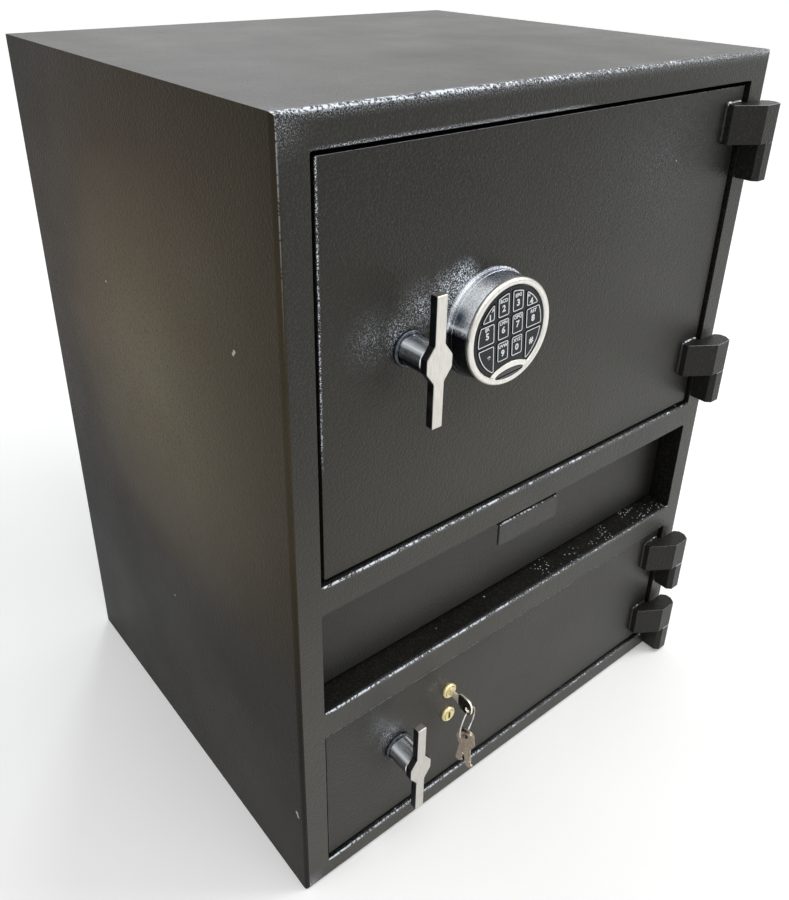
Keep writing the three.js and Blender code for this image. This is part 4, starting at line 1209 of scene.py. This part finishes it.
keyFace = doorFace - 0.0032
holeAlong = keyShape["holeInset"] - keyShape["shank"] - keyShape["bow"]
inserted = keyBlank("keyInserted", keyShape["insertedBlade"], -keyShape["holeDrop"], False)
inserted.location = (lockX, keyFace, lockHeights["upper"])
settle(inserted)
bowEdge = keyFace - keyShape["shank"] - 0.0012
openMesh(inserted)
bpy.ops.mesh.bisect(plane_co=(0, bowEdge, 0), plane_no=(0, 1, 0))
closeMesh(turnOut=False)
fit(inserted, "inserted_key", "nickel", None, "key_inserted")
paint(inserted, shankSteel, bowSteel)
for face in inserted.data.polygons:  # the bow's broad faces take the dark copy, a painted reflection of the dark door; the rest the bright copy, a painted highlight
    face.material_index = 1 if abs(face.normal.x) > 0.95 and face.center.y < bowEdge else 0

ringShape = {
    "radius": 0.0155,
    "wire": 0.00052,
    "pitch": 0.00095,
    "turns": 1.96,
    "start": 0.6,
    "steps": 144,
    "turn": math.radians(20),  # about the upright, from the key's own plane
    "seat": 0.0015,
}
hookHeight = lockHeights["upper"] - keyShape["holeDrop"] - ringShape["seat"]
hookPlace = Vector((lockX, keyFace + holeAlong, hookHeight))
ringFrame = (
    Matrix.Translation(hookPlace - Vector((0, 0, ringShape["radius"])))
    @ Matrix.Rotation(ringShape["turn"], 4, "Z")
)


# Split ring: wire wound almost twice
def splitRing():
    s = ringShape
    route = []
    for i in range(s["steps"] + 1):
        turns = s["turns"] * i / s["steps"]
        angle = 2 * math.pi * turns - s["start"]
        offset = (turns / s["turns"] - 0.5) * s["pitch"]
        route.append(((s["radius"] * math.cos(angle), offset, s["radius"] * math.sin(angle)), 1))
    ring = wirePiece("splitRing", route, s["wire"])
    ring.matrix_world = ringFrame
    settle(ring)
    return smooth(ring, 50)


fit(splitRing(), "split_ring", "nickel", ringSteel, "key_ring")
for side, which in ((-1, "a"), (1, "b")):
    bladeLength = keyShape["spareLength"] - keyShape["shank"]
    spare = keyBlank("keySpare" + which.upper(), bladeLength, 0, True)
    tilt = side * math.radians(keyShape["spareLean"]) - math.pi / 2
    spare.matrix_world = (
        ringFrame
        @ Matrix.Translation((side * keyShape["spareGap"], 0, -ringShape["radius"]))
        @ Matrix.Rotation(tilt, 4, "X")
        @ Matrix.Translation((0, ringShape["seat"] - holeAlong, 0))
    )
    settle(spare)
    fit(spare, "spare_key_" + which, "nickel", keyNickel, "key_spare_" + which)
print("locks and keys made")


studio = {
    "floorSize": 60,
    "floorDark": (0.86, 0.86, 0.86),
    "floorLight": (0.9, 0.9, 0.9),
    "floorGlow": {"near": 0.16, "far": 0.5, "radius": 3.2},
    "roomLight": 0.55,
}


# 1 for rays that see the background itself: from the camera, a mirror or glass
def backgroundRay(tree):
    seen = addNode(tree, "LightPath")
    mirrored = maths(tree, "MAXIMUM", seen.outputs["Is Glossy Ray"], seen.outputs["Is Transmission Ray"])
    return maths(tree, "MAXIMUM", seen.outputs["Is Camera Ray"], mirrored)


def placeFloor():
    clearSelection()
    bpy.ops.mesh.primitive_plane_add(size=studio["floorSize"], location=(0, 0, -0.0004))
    floor = bpy.context.object
    floor.name = "studioFloor"
    finish, tree, shader, place = newFinish("studioFloor")
    colour = ramp(tree, noise(tree, place, 3, 2), 0.3, 0.7, studio["floorDark"], studio["floorLight"])
    feed(tree, shader, {"Base Color": colour, "Roughness": 0.9, "Emission Color": (1, 1, 1)})
    glow = studio["floorGlow"]
    nearness = nearTo(tree, place, (0, 0, 0), glow["radius"])
    fall = times(tree, nearness, glow["near"] - glow["far"])
    shine = times(tree, backgroundRay(tree), maths(tree, "ADD", fall, glow["far"]))
    feed(tree, shader, {"Emission Strength": shine})
    floor.data.materials.append(finish)


cameraSetup = {
    "place": (-0.5318, -0.659, 0.8055),
    "right": (0.7757747, -0.6308018, 0.0162079),
    "up": (0.2787242, 0.3655995, 0.8880596),
    "back": (-0.5661152, -0.6844167, 0.4594425),
    "lens": 34.758,
    "shift": (0.0035, -0.0833),
}


def placeCamera(setup):
    lens = bpy.data.cameras.new("shopCamera")
    give(lens, lens=setup["lens"], sensor_width=36, clip_start=0.05, clip_end=50)
    lens.shift_x, lens.shift_y = setup["shift"]
    turn = Matrix((setup["right"], setup["up"], setup["back"])).transposed().to_4x4()
    scene.camera = addObject("shopCamera", lens)
    scene.camera.matrix_world = Matrix.Translation(setup["place"]) @ turn


lampSetup = {
    "overhead": {"place": (-0.3, -0.7, 2.4), "size": 1.4, "power": 14, "colour": (1, 0.99, 0.97)},
    "softbox": {"place": (1.4, -1.1, 1.9), "size": 0.8, "power": 20, "colour": (1, 0.99, 0.98)},
    "stripLeft": {"place": (-1.5, -0.9, 1.9), "size": 1.1, "power": 3.5, "colour": (0.9, 0.95, 1)},
    "stripBack": {"place": (0.5, 1.3, 2.2), "size": 0.35, "power": 9, "colour": (0.92, 0.96, 1)},
}


def placeLamps(setup):
    aim = Vector((0, -0.05, 0.4))
    for name, values in setup.items():
        light = bpy.data.lights.new(name, "AREA")
        give(light, shape="SQUARE", size=values["size"], energy=values["power"], color=values["colour"])
        lamp = addObject(name, light)
        lamp.location = values["place"]
        lamp.rotation_euler = (aim - Vector(values["place"])).to_track_quat("-Z", "Y").to_euler()


def lightRoom():
    world = bpy.data.worlds.new("studioRoom")
    scene.world = world
    world.use_nodes = True
    tree = world.node_tree
    rise = times(tree, backgroundRay(tree), 1.0 - studio["roomLight"])
    strength = maths(tree, "ADD", rise, studio["roomLight"])
    feed(tree, tree.nodes["Background"], {"Color": (1, 1, 1), "Strength": strength})


placeCamera(cameraSetup)
placeFloor()
placeLamps(lampSetup)
lightRoom()
print("studio ready")
